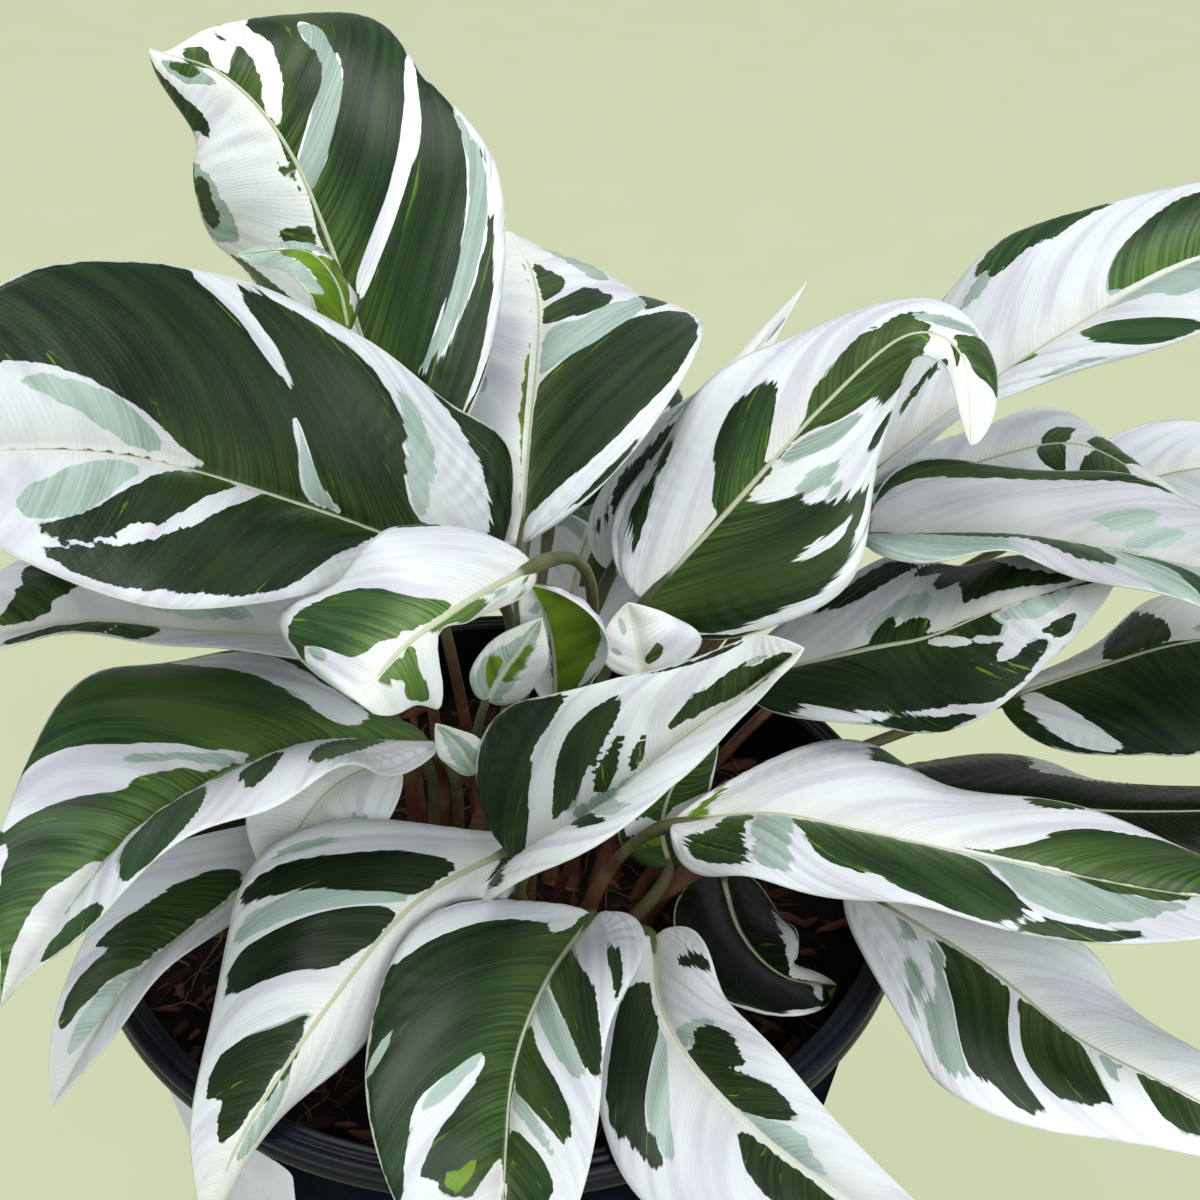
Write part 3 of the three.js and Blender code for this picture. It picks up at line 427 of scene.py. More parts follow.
    ], GREEN, [
        (WHITE, [(-1, 84), (10, 78), (34, 80), (42, 95), (60, 94), (74, 80), (76, 66), (70, 60), (66, 66),
            (56, 60), (64, 52), (68, 44), (60, 32), (52, 20), (48, 6), (54, 5), (60, 18), (67, 34),
            (72, 28), (70, 8), (66, 2), (92, 2), (101, 40), (101, 101), (-1, 101)]),
        (WHITE, [(-60, 98), (-40, 88), (-30, 78), (-26, 86), (-12, 84), (0, 78), (2, 84), (-8, 88),
            (-30, 96), (-50, 101)]),
        (SAGE, [(71, 12), (74, 4), (90, 3), (88, 28), (80, 38), (73, 25)]),
        (GREEN, [(54, 2), (70, 2), (74, 8), (60, 6)]),
        (GREEN, [(75, 55), (84, 54), (87, 62), (80, 86), (76, 80), (78, 66)]),
        (GREEN, [(-14, 92), (0, 86), (18, 83), (30, 88), (34, 98), (0, 98)]),
    ]),
    "right_back": (WHITE, [
        (GREEN, [(16, 90), (14, 70), (24, 44), (32, 14), (40, 4), (60, 4), (58, 20), (48, 50), (38, 62),
            (26, 80)]),
        (SAGE, [(60, 10), (70, 30), (84, 30), (80, 6)]),
    ], GREEN, [
        (WHITE, [(7, 4), (0, 20), (-10, 44), (-24, 70), (-40, 90), (-30, 98), (-12, 90), (-8, 78),
            (0, 60), (6, 36), (10, 10)]),
        (WHITE, [(66, 4), (70, 50), (60, 101), (101, 101), (101, 0)]),
        (GREEN, [(76, 6), (78, 40), (72, 86), (86, 60), (90, 10)]),
    ]),
    "right_shadow": (GREEN, [
        (WHITE, [(-16, 101), (6, 84), (20, 60), (30, 52), (44, 58), (52, 78), (50, 101)]),
    ], GREEN, []),
    "right_long": (WHITE, [
        (GREEN, [(52, 1), (56, 4), (58, 14), (59, 26), (57, 44), (55, 66), (58, 84), (56, 92), (62, 101),
            (70, 90), (76, 50), (82, 10), (82, 1)]),
        (GREEN, [(-22, 101), (-12, 92), (0, 82), (9, 71), (6, 84), (0, 101)]),
        (GREEN, [(27, 101), (34, 90), (44, 78), (42, 101)]),
        (LIME, [(-54, 93), (-30, 76), (-8, 42), (6, 10), (8, 2), (2, 6), (-12, 40), (-34, 76)]),
    ], WHITE, [
        (GREEN, [(11, 1), (7, 18), (-2, 32), (-14, 44), (-26, 62), (-44, 82), (-34, 90), (-22, 84),
            (-8, 62), (2, 44), (8, 28), (15, 14), (16, 1)]),
        (SAGE, [(16, 6), (14, 20), (8, 34), (0, 54), (-14, 76), (-22, 87), (-10, 84), (0, 76), (8, 58),
            (18, 34), (24, 16), (24, 3)]),
        (GREEN, [(25, 2), (22, 24), (20, 40), (14, 62), (18, 74), (24, 68), (19, 82), (20, 92), (28, 98),
            (38, 94), (48, 80), (52, 62), (54, 40), (55, 18), (52, 6), (46, 1)]),
        (SAGE, [(54, 6), (56, 30), (52, 62), (56, 76), (62, 76), (68, 64), (74, 50), (76, 38), (72, 28),
            (68, 14), (60, 4)]),
        (GREEN, [(64, 2), (68, 20), (72, 34), (76, 30), (80, 10), (80, 1)]),
        (GREEN, [(36, 98), (42, 90), (50, 80), (58, 86), (64, 82), (58, 94), (48, 101), (34, 101)]),
    ]),
    "right_low": (WHITE, [], WHITE, [
        (GREEN, [(15, 2), (15, 20), (9, 40), (8, 60), (11, 80), (18, 78), (20, 92), (28, 84), (31, 64),
            (31, 30), (32, 8), (30, 2)]),
        (SAGE, [(13, 12), (6, 40), (-2, 60), (-16, 80), (-10, 88), (4, 87), (10, 82), (7, 60), (8, 40),
            (14, 20)]),
        (SAGE, [(8, 10), (2, 30), (-6, 44), (-2, 41), (6, 28), (10, 10)]),
        (SAGE, [(0, 44), (-14, 66), (-32, 90), (-26, 89), (-10, 66), (2, 46)]),
        (GREEN, [(34, 3), (35, 20), (35, 60), (38, 70), (47, 66), (52, 60), (53, 30), (52, 8), (49, 1)]),
        (SAGE, [(54, 4), (56, 30), (57, 36), (58, 20), (60, 8), (60, 3)]),
        (GREEN, [(62, 3), (63, 30), (64, 56), (68, 66), (74, 60), (80, 30), (78, 3)]),
        (GREEN, [(86, 4), (88, 40), (95, 30), (94, 4)]),
    ]),
    "front_right": (WHITE, [
        (GREEN, [(22, 68), (30, 70), (43, 60), (46, 42), (47, 30), (49, 50), (52, 65), (60, 62), (64, 50),
            (64, 20), (60, 2), (43, 2), (39, 18), (30, 40)]),
        (SAGE, [(18, 66), (22, 68), (30, 40), (39, 18), (42, 2), (35, 2), (33, 15), (26, 42)]),
        (SAGE, [(60, 4), (64, 25), (66, 40), (70, 42), (75, 32), (79, 15), (75, 4)]),
        (GREEN, [(84, 4), (86, 34), (94, 30), (93, 4)]),
        (GREEN, [(-44, 96), (-36, 84), (-20, 68), (-8, 50), (-2, 48), (-8, 62), (-22, 84), (-36, 98)]),
    ], WHITE, [
        (GREEN, [(16, 7), (30, 11), (32, 30), (33, 65), (43, 66), (44, 75), (30, 82), (10, 95), (3, 90),
            (4, 50), (12, 20)]),
        (SAGE, [(30, 11), (36, 14), (42, 35), (48, 58), (48, 66), (42, 66), (34, 62), (33, 35)]),
        (GREEN, [(62, 5), (82, 5), (80, 30), (71, 52), (66, 36)]),
    ]),
    "front_middle": (WHITE, [
        (GREEN, [(0, 101), (14, 101), (22, 88), (22, 65), (26, 35), (26, 4), (13, 1), (12, 30), (6, 60),
            (0, 75)]),
        (SAGE, [(21, 86), (29, 80), (34, 60), (34, 10), (32, 2), (27, 3), (26, 36), (22, 65)]),
        (GREEN, [(37, 3), (40, 35), (39, 60), (43, 78), (50, 75), (53, 50), (53, 10), (50, 2)]),
        (SAGE, [(54, 4), (58, 4), (58, 50), (55, 80), (54, 50)]),
        (GREEN, [(60, 3), (60, 50), (61, 70), (69, 62), (76, 40), (78, 6)]),
        (GREEN, [(86, 3), (86, 40), (94, 30), (94, 3)]),
        (GREEN, [(-24, 98), (-22, 80), (-12, 64), (-8, 62), (-10, 72), (-14, 90), (-16, 100)]),
    ], GREEN, [
        (WHITE, [(46, 22), (45, 45), (45, 62), (48, 74), (54, 84), (58, 90), (60, 76), (57, 66), (54, 50),
            (51, 26)]),
        (SAGE, [(17, 88), (22, 78), (24, 90), (22, 101), (18, 101)]),
        (WHITE, [(57, 101), (58, 74), (63, 62), (68, 52), (72, 30), (68, 12), (66, 1), (101, 1),
            (101, 101)]),
        (WHITE, [(4, 12), (-8, 26), (-20, 40), (-34, 66), (-46, 98), (-8, 101), (-10, 76), (-5, 52),
            (0, 32), (8, 20)]),
        (SAGE, [(44, 22), (45, 46), (44, 64), (47, 70), (50, 46), (48, 24)]),
        (LIME, [(64, 24), (68, 30), (69, 46), (64, 54), (62, 50), (66, 40)]),
        (GREEN, [(80, 6), (82, 50), (90, 30), (90, 5)]),
    ]),
    "front_left": (WHITE, [
        (SAGE, [(60, 14), (62, 40), (68, 60), (76, 50), (80, 24), (74, 8)]),
        (SAGE, [(8, 80), (14, 60), (20, 70), (16, 94)]),
        (GREEN, [(57, 1), (60, 10), (66, 14), (70, 6), (72, 1)]),
        (GREEN, [(-6, 40), (0, 26), (4, 12), (6, 4), (2, 6), (-4, 26)]),
    ], WHITE, [
        (GREEN, [(14, 8), (8, 30), (6, 54), (2, 74), (-3, 93), (3, 98), (10, 86), (16, 68), (20, 50),
            (23, 32), (25, 10), (22, 4)]),
        (SAGE, [(24, 8), (24, 34), (20, 54), (17, 72), (14, 88), (18, 92), (24, 84), (27, 60), (28, 30),
            (27, 8)]),
        (GREEN, [(28, 2), (36, 2), (44, 10), (43, 35), (42, 64), (36, 84), (26, 90), (29, 60)]),
        (GREEN, [(53, 2), (55, 28), (54, 54), (53, 74), (56, 78), (61, 76), (64, 62), (66, 50), (72, 46),
            (77, 35), (77, 19), (72, 4)]),
        (SAGE, [(-14, 90), (-10, 78), (-4, 74), (-6, 86), (-10, 96)]),
    ]),
    "left_middle": (WHITE, [
        (GREEN, [(-12, 90), (-2, 86), (5, 78), (10, 62), (12, 40), (9, 22), (2, 24), (-2, 44), (-8, 70)]),
        (GREEN, [(20, 75), (27, 71), (33, 52), (35, 40), (30, 36), (22, 40)]),
        (GREEN, [(38, 95), (45, 101), (55, 96), (61, 70), (62, 50), (58, 30), (45, 24), (42, 50),
            (40, 70)]),
        (LIME, [(-1, 22), (20, 26), (58, 22), (60, 3), (-1, 3)]),
        (GREEN, [(60, 101), (65, 85), (75, 66), (84, 60), (84, 101)]),
        (SAGE, [(64, 10), (66, 44), (78, 46), (82, 12)]),
    ], GREEN, [
        (WHITE, [(34, 2), (40, 20), (45, 50), (43, 80), (42, 101), (62, 101), (62, 82), (60, 60),
            (58, 38), (56, 26), (52, 30), (47, 16), (43, 3)]),
        (SAGE, [(36, 3), (43, 26), (48, 44), (50, 36), (44, 14), (41, 3)]),
        (WHITE, [(68, 2), (76, 18), (82, 38), (92, 52), (101, 50), (101, 0)]),
        (WHITE, [(66, 84), (76, 86), (92, 76), (101, 60), (101, 101), (64, 101)]),
        (WHITE, [(10, 14), (-2, 34), (-13, 62), (-26, 86), (-34, 98), (-10, 98), (0, 68), (9, 42),
            (14, 24), (14, 14)]),
    ]),
    "left_low": (WHITE, [
        (SAGE, [(66, 8), (70, 30), (80, 34), (82, 6)]),
    ], WHITE, [
        (GREEN, [(14, 30), (20, 8), (30, 2), (60, 2), (63, 20), (70, 35), (76, 60), (77, 76), (72, 88),
            (63, 84), (57, 70), (53, 50), (50, 66), (47, 76), (37, 56), (14, 43)]),
        (SAGE, [(60, 2), (65, 20), (72, 35), (80, 45), (85, 50), (87, 30), (81, 4)]),
    ]),
    "left_under": (WHITE, [
        (GREEN, [(14, 101), (24, 82), (34, 44), (44, 8), (54, 4), (58, 30), (62, 46), (72, 56), (78, 80),
            (70, 101)]),
        (SAGE, [(36, 98), (44, 70), (50, 40), (52, 20), (48, 44), (40, 76), (34, 98)]),
    ], WHITE, [
        (GREEN, [(50, 45), (60, 35), (64, 30), (70, 15), (82, 5), (84, 20), (72, 50), (62, 76), (56, 82),
            (56, 60)]),
        (SAGE, [(10, 20), (30, 10), (44, 16), (36, 50), (16, 60)]),
    ]),
    "pale_behind": (WHITE, [
        (GREEN, [(0, 65), (10, 60), (30, 55), (45, 46), (48, 30), (30, 28), (5, 28)]),
        (SAGE, [(30, 66), (44, 60), (48, 80), (40, 90)]),
        (GREEN, [(-40, 84), (-20, 70), (-4, 56), (0, 48), (-12, 60), (-30, 76)]),
    ], WHITE, [
        (GREEN, [(30, 20), (44, 24), (50, 60), (38, 80), (28, 50)]),
        (SAGE, [(76, 40), (86, 50), (84, 90), (78, 80)]),
    ]),
    "right_wavy": (WHITE, [
        (GREEN, [(49, -2), (49, 14), (50, 30), (53, 37), (56, 36), (58, 24), (60, 8), (60, -2)]),
        (GREEN, [(66, -2), (66, 20), (62, 50), (60, 80), (62, 98), (72, 90), (80, 60), (81, -2)]),
    ], WHITE, [
        (GREEN, [(49, -2), (45, 20), (44, 36), (48, 50), (52, 57), (56, 40), (58, 20), (60, -2)]),
        (GREEN, [(70, -2), (68, 16), (64, 38), (60, 58), (62, 80), (80, 80), (83, 40), (81, -2)]),
    ]),
    "right_far": (WHITE, [
        (GREEN, [(50, 20), (60, 30), (66, 70), (54, 84), (48, 50)]),
    ], WHITE, [
        (SAGE, [(4, 60), (14, 50), (16, 90), (6, 96)]),
        (GREEN, [(40, 10), (56, 8), (60, 40), (50, 76), (40, 60)]),
    ]),
    "front_dark": (GREEN, [
        (WHITE, [(-40, 92), (-8, 74), (20, 66), (45, 58), (60, 50), (68, 30), (72, 8), (101, 8),
            (101, 101), (26, 101), (10, 90)]),
    ], GREEN, [
        (WHITE, [(80, 2), (82, 30), (76, 60), (74, 84), (78, 80), (84, 50), (90, 20), (88, 2)]),
        (LIME, [(88, 60), (101, 40), (101, 90), (84, 101)]),
        (WHITE, [(40, 94), (60, 90), (76, 92), (76, 101), (40, 101)]),
    ]),
    "centre_front": (WHITE, [
        (GREEN, [(8, 55), (13, 75), (17, 82), (22, 80), (29, 62), (28, 50), (22, 30), (17, 14), (11, 14),
            (10, 30)]),
        (GREEN, [(23, 10), (28, 32), (32, 46), (35, 42), (31, 12)]),
        (GREEN, [(35, 8), (37, 28), (41, 36), (42, 28), (39, 6)]),
        (GREEN, [(-60, 101), (-5, 101), (-3, 77), (-8, 62), (0, 44), (3, 22), (3, 6), (-1, 2),
            (-60, 90)]),
        (GREEN, [(8, 101), (14, 95), (20, 98), (28, 94), (40, 91), (56, 88), (66, 92), (62, 101)]),
        (SAGE, [(16, 12), (20, 12), (30, 8), (40, 4), (32, 1), (18, 4)]),
        (GREEN, [(46, 20), (50, 35), (53, 50), (56, 40), (60, 50), (66, 54), (71, 50), (73, 33), (90, 36),
            (95, 16), (92, 1), (66, 1), (62, 14)]),
        (SAGE, [(68, 46), (74, 52), (86, 40), (74, 36)]),
    ], WHITE, [
        (GREEN, [(66, 1), (70, 34), (76, 50), (86, 30), (92, 1)]),
        (GREEN, [(18, 4), (14, 26), (10, 46), (4, 70), (8, 74), (14, 54), (20, 28), (24, 4)]),
        (SAGE, [(24, 3), (21, 28), (15, 54), (8, 76), (12, 76), (22, 52), (30, 24), (32, 4)]),
        (GREEN, [(-6, 32), (-20, 52), (-36, 74), (-50, 90), (-40, 88), (-24, 68), (-8, 46), (-2, 34)]),
        (SAGE, [(60, 1), (62, 20), (68, 32), (66, 1)]),
    ]),
    "crown_dark": (GREEN, [
        (LIME, [(-28, 101), (-10, 80), (10, 52), (24, 20), (26, 4), (22, 6), (8, 44), (-12, 76),
            (-34, 99)]),
        (WHITE, [(-10, 88), (8, 70), (22, 40), (30, 6), (38, 6), (34, 36), (24, 64), (10, 86)]),
    ], GREEN, [
        (WHITE, [(30, 2), (40, 2), (50, 20), (54, 60), (50, 101), (44, 96), (42, 50), (36, 22)]),
    ]),
    "left_pale": (WHITE, [
        (SAGE, [(0, 60), (16, 66), (20, 50), (30, 44), (30, 90), (0, 96)]),
    ], WHITE, []),
    "new_roll": (WHITE, [
        (LIME, [(-10, 30), (0, 22), (20, 18), (40, 14), (56, 16), (64, 4), (60, 0), (-10, 0)]),
        (SAGE, [(70, 70), (78, 44), (86, 20), (80, 10), (72, 30), (66, 56)]),
    ], LIME, [
        (WHITE, [(-10, 60), (10, 66), (35, 70), (60, 68), (78, 72), (101, 76), (101, 101), (-10, 101)]),
    ]),
    "new_white": (WHITE, [
        (SAGE, [(8, 60), (16, 54), (24, 50), (22, 60), (12, 70)]),
        (SAGE, [(40, 40), (52, 24), (62, 24), (72, 40), (76, 66), (64, 60), (50, 46)]),
    ], WHITE, [
        (GREEN, [(10, 12), (20, 12), (34, 34), (20, 40), (10, 30)]),
    ]),
    "new_point": (SAGE, [
        (LIME, [(6, 14), (16, 60), (20, 76), (30, 72), (40, 56), (42, 30), (34, 16)]),
        (WHITE, [(-20, 80), (10, 88), (40, 70), (70, 44), (101, 30), (101, 101), (-20, 101)]),
    ], SAGE, [
        (LIME, [(30, 4), (50, 4), (70, 16), (66, 34), (40, 36), (20, 30)]),
        (WHITE, [(-40, 80), (-10, 52), (10, 44), (40, 42), (60, 38), (80, 50), (101, 40), (101, 101),
            (-40, 101)]),
    ]),
    "new_lime": (LIME, [
        (SAGE, [(-16, 101), (0, 70), (10, 62), (50, 62), (70, 48), (80, 20), (101, 20), (101, 101)]),
    ], LIME, [
        (SAGE, [(34, 60), (44, 30), (60, 4), (101, 2), (101, 101), (40, 80)]),
        (WHITE, [(-50, 96), (-30, 80), (-10, 50), (4, 30), (10, 20), (12, 40), (6, 64), (-10, 84),
            (-30, 98)]),
    ]),
    "new_pale": (SAGE, [
        (WHITE, [(-1, 60), (50, 50), (101, 30), (101, 101), (-1, 101)]),
    ], SAGE, [
        (WHITE, [(-1, 70), (50, 60), (101, 40), (101, 101), (-1, 101)]),
    ]),
}

# Leaves on the hidden back of the plant repeat the markings of leaves in front.
for back, front in (("back_left", "left_middle"), ("back_low_left", "front_middle"),
                    ("back_far", "right_middle"), ("back_mid", "front_right"),
                    ("back_right", "tall_left")):
    MARKINGS[back] = MARKINGS[front]


# ---------------------------------------------------------------- curves and small helpers


def smooth_curve(points, along):
    """Positions and directions on a Catmull-Rom curve through points, at along from 0 to 1."""
    knots = np.asarray(points, float).reshape(len(points), -1)
    knots = np.vstack([2 * knots[0] - knots[1], knots, 2 * knots[-1] - knots[-2]])
    spans = len(points) - 1
    place = np.clip(along, 0, 1) * spans
    index = np.minimum(place.astype(int), spans - 1)
    u = (place - index)[:, None]
    before, start, end, after = (knots[index + k] for k in range(4))
    leave = (end - before) / 2
    arrive = (after - start) / 2
    cubic = 2 * start - 2 * end + leave + arrive
    square = 3 * end - 3 * start - 2 * leave - arrive
    position = ((cubic * u + square) * u + leave) * u + start
    direction = (3 * cubic * u + 2 * square) * u + leave
    return position, direction


def unit(vectors):
    return vectors / np.maximum(np.linalg.norm(vectors, axis=-1, keepdims=True), 1e-9)


def step_lengths(path):
    """The distance from each point of a path to the next."""
    return np.linalg.norm(np.diff(path, axis=0), axis=1)


def ripple(x, y, seed):
    """A smooth random field of about -1 to 1, made of a few crossing waves."""
    layers = 5
    random = np.random.default_rng(seed)
    total = np.zeros_like(np.asarray(x, float))
    for _ in range(layers):
        angle = random.uniform(0, math.pi)
        stretch = random.uniform(0.7, 1.6)
        phase = random.uniform(0, TURN)
        total += np.sin(stretch * (x * math.cos(angle) + y * math.sin(angle)) + phase)
    return total / math.sqrt(layers)


def mesh_piece(name, points, faces, materials, face_materials=None, attributes=None):
    """A smooth-shaded mesh object from points in millimetres, riding on the CAD's one body."""
    mesh = bpy.data.meshes.new(name)
    mesh.from_pydata((np.asarray(points) * MM).tolist(), [], [tuple(face) for face in faces])
    for material in materials:
        mesh.materials.append(material)
    if face_materials is not None:
        mesh.polygons.foreach_set("material_index", np.asarray(face_materials, np.int32))
    mesh.polygons.foreach_set("use_smooth", np.ones(len(mesh.polygons), bool))
    for key, values in (attributes or {}).items():
        attribute = mesh.attributes.new(key, "FLOAT_VECTOR", "POINT")
        attribute.data.foreach_set("vector", np.asarray(values, np.float32).ravel())
    mesh.update()
    piece = bpy.data.objects.new(name, mesh)
    bpy.context.scene.collection.objects.link(piece)
    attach(piece, "root")
    return piece


def ringed_faces(rings, sides):
    """Faces of a closed bar made of equal rings of points, with a flat cap at each end."""
    faces = []
    for row in range(rings - 1):
        for k in range(sides):
            a = row * sides + k
            b = row * sides + (k + 1) % sides
            faces.append((a, b, b + sides, a + sides))
    last = (rings - 1) * sides
    faces.append(tuple(range(sides - 1, -1, -1)))
    faces.append(tuple(range(last, last + sides)))
    return faces


def tube(path, radii, sides):
    """Points and faces of a closed round bar along a path."""
    path = np.asarray(path, float)
    direction = unit(np.gradient(path, axis=0))
    start = np.array([0.0, 1.0, 0.0]) if abs(direction[0][1]) < 0.9 else np.array([1.0, 0.0, 0.0])
    across = unit(np.cross(direction[0], start))
    angles = np.arange(sides) * TURN / sides
    points = []
    for place, heading, radius in zip(path, direction, radii):
        across = unit(across - heading * (across @ heading))
        other = np.cross(heading, across)
        ring = np.outer(np.cos(angles), across) + np.outer(np.sin(angles), other)
        points.append(place + radius * ring)
    return np.vstack(points), ringed_faces(len(path), sides)


def lathe(profile, segments):
    """Points and faces of a profile of radius and height pairs turned about the upright axis.

    The profile starts and ends on the axis.
    """
    angles = np.arange(segments) * TURN / segments
    points = [(0, 0, profile[0][1])]
    for radius, height in profile[1:-1]:
        points += [(radius * math.cos(a), radius * math.sin(a), height) for a in angles]
    points.append((0, 0, profile[-1][1]))
    faces = []
    for k in range(segments):
        after = (k + 1) % segments
        faces.append((0, 1 + after, 1 + k))
        for row in range(len(profile) - 3):
            low = 1 + row * segments
            high = low + segments
            faces.append((low + k, low + after, high + after, high + k))
        last = 1 + (len(profile) - 3) * segments
        faces.append((last + k, last + after, len(points) - 1))
    return np.array(points, float), faces


def sheet_faces(rows, columns):
    """Top, bottom and edge faces of a closed sheet made of two grids of points, the upper one first."""
    under = rows * columns
    top = []
    for row in range(rows - 1):
        for column in range(columns - 1):
            a = row * columns + column
            top.append((a, a + 1, a + 1 + columns, a + columns))
    bottom = [(under + a, under + d, under + c, under + b) for a, b, c, d in top]
    ring = list(range(columns - 1))
    ring += [row * columns + columns - 1 for row in range(rows - 1)]
    ring += [(rows - 1) * columns + column for column in range(columns - 1, 0, -1)]
    ring += [row * columns for row in range(rows - 1, 0, -1)]
    edge = [(a, under + a, under + b, b) for a, b in zip(ring, ring[1:] + ring[:1])]
    return top, bottom, edge


def wall_radius(height):
    """The pot wall's outer radius at a height below the collar."""
    return BASE_RADIUS + (BORE_RADIUS + WALL - BASE_RADIUS) * height / COLLAR_UNDERSIDE


# ---------------------------------------------------------------- leaf shapes


def rib_points(shape):
    """The rib's points, measured from the pot's bottom."""
    return [(x, y, z + POT_HEIGHT) for x, y, z in shape["rib"]]


def half_width(shape, key, along):
    """Half width of one side along the rib: rounded at the base, drawn to a point at the tip."""
    peak = shape["base"] / (shape["base"] + shape["tip"])
    rise = np.maximum(along, 1e-4) ** shape["base"] * np.maximum(1 - along, 1e-4) ** shape["tip"]
    highest = peak ** shape["base"] * (1 - peak) ** shape["tip"]
    widths, _ = shape[key]
    width = smooth_curve([[value] for value in widths], along)[0][:, 0]
    return np.maximum(width * rise / highest, NARROWEST)


def blade_points(shape, along, across):
    """The blade's middle surface: one row for each place along, one column for each place across."""
    position, direction = smooth_curve(rib_points(shape), along)
    tangent = unit(direction)
    level = unit(np.cross(np.asarray(shape["up"], float), tangent))
    above = np.cross(tangent, level)
    arch = math.radians(shape["arch"])
    height, count, phase = shape["wave"]
    columns = []
    for place in across:
        key = "left" if place < 0 else "right"
        out = abs(place)
        width = half_width(shape, key, along)
        _, (base_lift, tip_lift) = shape[key]
        start = np.radians(base_lift + (tip_lift - base_lift) * along) + arch / 2
        end = start - arch * out
        reach = (np.sin(start) - np.sin(end)) / arch * width
        climb = (np.cos(end) - np.cos(start)) / arch * width
        turns = count * along + phase + (0 if place < 0 else RIGHT_WAVE_SHIFT)
        ruffle = height * out * out * np.sin(TURN * turns) * np.minimum(width / FULL_RUFFLE_WIDTH, 1)
        sideways = (1 if place < 0 else -1) * (reach - ruffle * np.sin(end))
        upwards = climb + ruffle * np.cos(end)
        columns.append(position + level * sideways[:, None] + above * upwards[:, None])
    return np.stack(columns, axis=1)


def surface_normals(grid):
    """Upward normals of a grid of points."""
    forward = np.gradient(grid, axis=0)
    sideways = np.gradient(grid, axis=1)
    forward[0] = forward[0, grid.shape[1] // 2]
    forward[-1] = forward[-1, grid.shape[1] // 2]
    return unit(np.cross(sideways, forward))


def stalk_path(shape):
    """The middle line of the stalk: upright out of the mix, then running on into the rib."""
    ends, directions = smooth_curve(rib_points(shape), np.array([0, STALK_TOP]))
    foot = np.array([*shape["root"], STALK_FOOT_HEIGHT], float)
    top = ends[1]
    span = np.linalg.norm(top - foot)
    rise = foot + np.array([0, 0, span * shape["rise"] / 3])
    reach = top - unit(directions[0]) * span * shape["reach"] / 3
    u = np.linspace(0, 1, STALK_STEPS)[:, None]
    return (1 - u) ** 3 * foot + 3 * (1 - u) ** 2 * u * rise + 3 * (1 - u) * u * u * reach + u ** 3 * top


# ---------------------------------------------------------------- leaf markings


def rounded(outline, passes=2, share=0.2):
    """A closed outline with its corners cut."""
    points = np.asarray(outline, float)
    for _ in range(passes):
        after = np.roll(points, -1, axis=0)
        near = points + (after - points) * share
        far = points + (after - points) * (1 - share)
        points = np.stack([near, far], axis=1).reshape(-1, 2)
    return points


def depth_inside(outline, x, y):
    """How far each point is inside a closed outline, below 0 outside it."""
    nearest = np.full(x.shape, np.inf)
    inside = np.zeros(x.shape, bool)
    for (x0, y0), (x1, y1) in zip(outline, np.roll(outline, -1, axis=0)):
        dx, dy = x1 - x0, y1 - y0
        share = np.clip(((x - x0) * dx + (y - y0) * dy) / max(dx * dx + dy * dy, 1e-9), 0, 1)
        nearest = np.minimum(nearest, (x - x0 - share * dx) ** 2 + (y - y0 - share * dy) ** 2)
        crosses = ((y0 > y) != (y1 > y)) & (x < dx * (y - y0) / (dy if dy else 1e-9) + x0)
        inside ^= crosses
    distance = np.sqrt(nearest)
    return np.where(inside, distance, -distance)


def marking_depths(ground, patches, vein, sideways, length, width):
    """Depth in millimetres inside the green, sage and lime areas of one side of a blade."""
    depths = {tone: np.full(vein.shape, GROUND_DEPTH if tone == ground else -GROUND_DEPTH)
              for tone in (GREEN, SAGE, LIME)}
    for tone, outline in patches:
        corners = rounded(outline) * (length / 100, width / 100)
        depth = depth_inside(corners, vein, sideways)
        for other in depths:
            if other == tone:
                depths[other] = np.maximum(depths[other], depth)
            elif other > tone:
                depths[other] = np.minimum(depths[other], -depth)
    return depths


# ---------------------------------------------------------------- leaf meshes


def blade_places(shape, along, across, length):
    """Where each point of the blade's grid lies on the leaf, with its lengths in millimetres.

    vein is where the vein through the point leaves the rib, and sideways is below 0 on the left.
    """
    share_along, share_across = np.meshgrid(along, across, indexing="ij")
    out = np.abs(share_across)
    bend = VEIN_SWEEP * out ** VEIN_CURVE
    is_left = share_across < 0
    left, right = (half_width(shape, key, along)[:, None] for key in ("left", "right"))
    mean_left, mean_right = (np.mean(shape[key][0]) for key in ("left", "right"))
    local_half = np.where(is_left, left, right)
    return SimpleNamespace(
        share_along=share_along,
        is_left=is_left,
        vein=(share_along - bend) / (1 - bend) * length,
        sideways=share_across * np.where(is_left, mean_left, mean_right),
        from_rib=out * local_half,
        from_margin=(1 - out) * local_half,
    )


def blade_marks(shape, place, length):
    """Depth inside the green, sage and lime areas at each point of the blade's grid."""
    left_ground, left_patches, right_ground, right_patches = MARKINGS[shape["name"]]
    marks = np.zeros((*place.vein.shape, 3))
    for key, chosen, ground, patches in (("left", place.is_left, left_ground, left_patches),
                                         ("right", ~place.is_left, right_ground, right_patches)):
        sideways = np.abs(place.sideways[chosen])
        width = np.mean(shape[key][0])
        depths = marking_depths(ground, patches, place.vein[chosen], sideways, length, width)
        marks[chosen] = np.stack(list(depths.values()), axis=-1)
    return marks


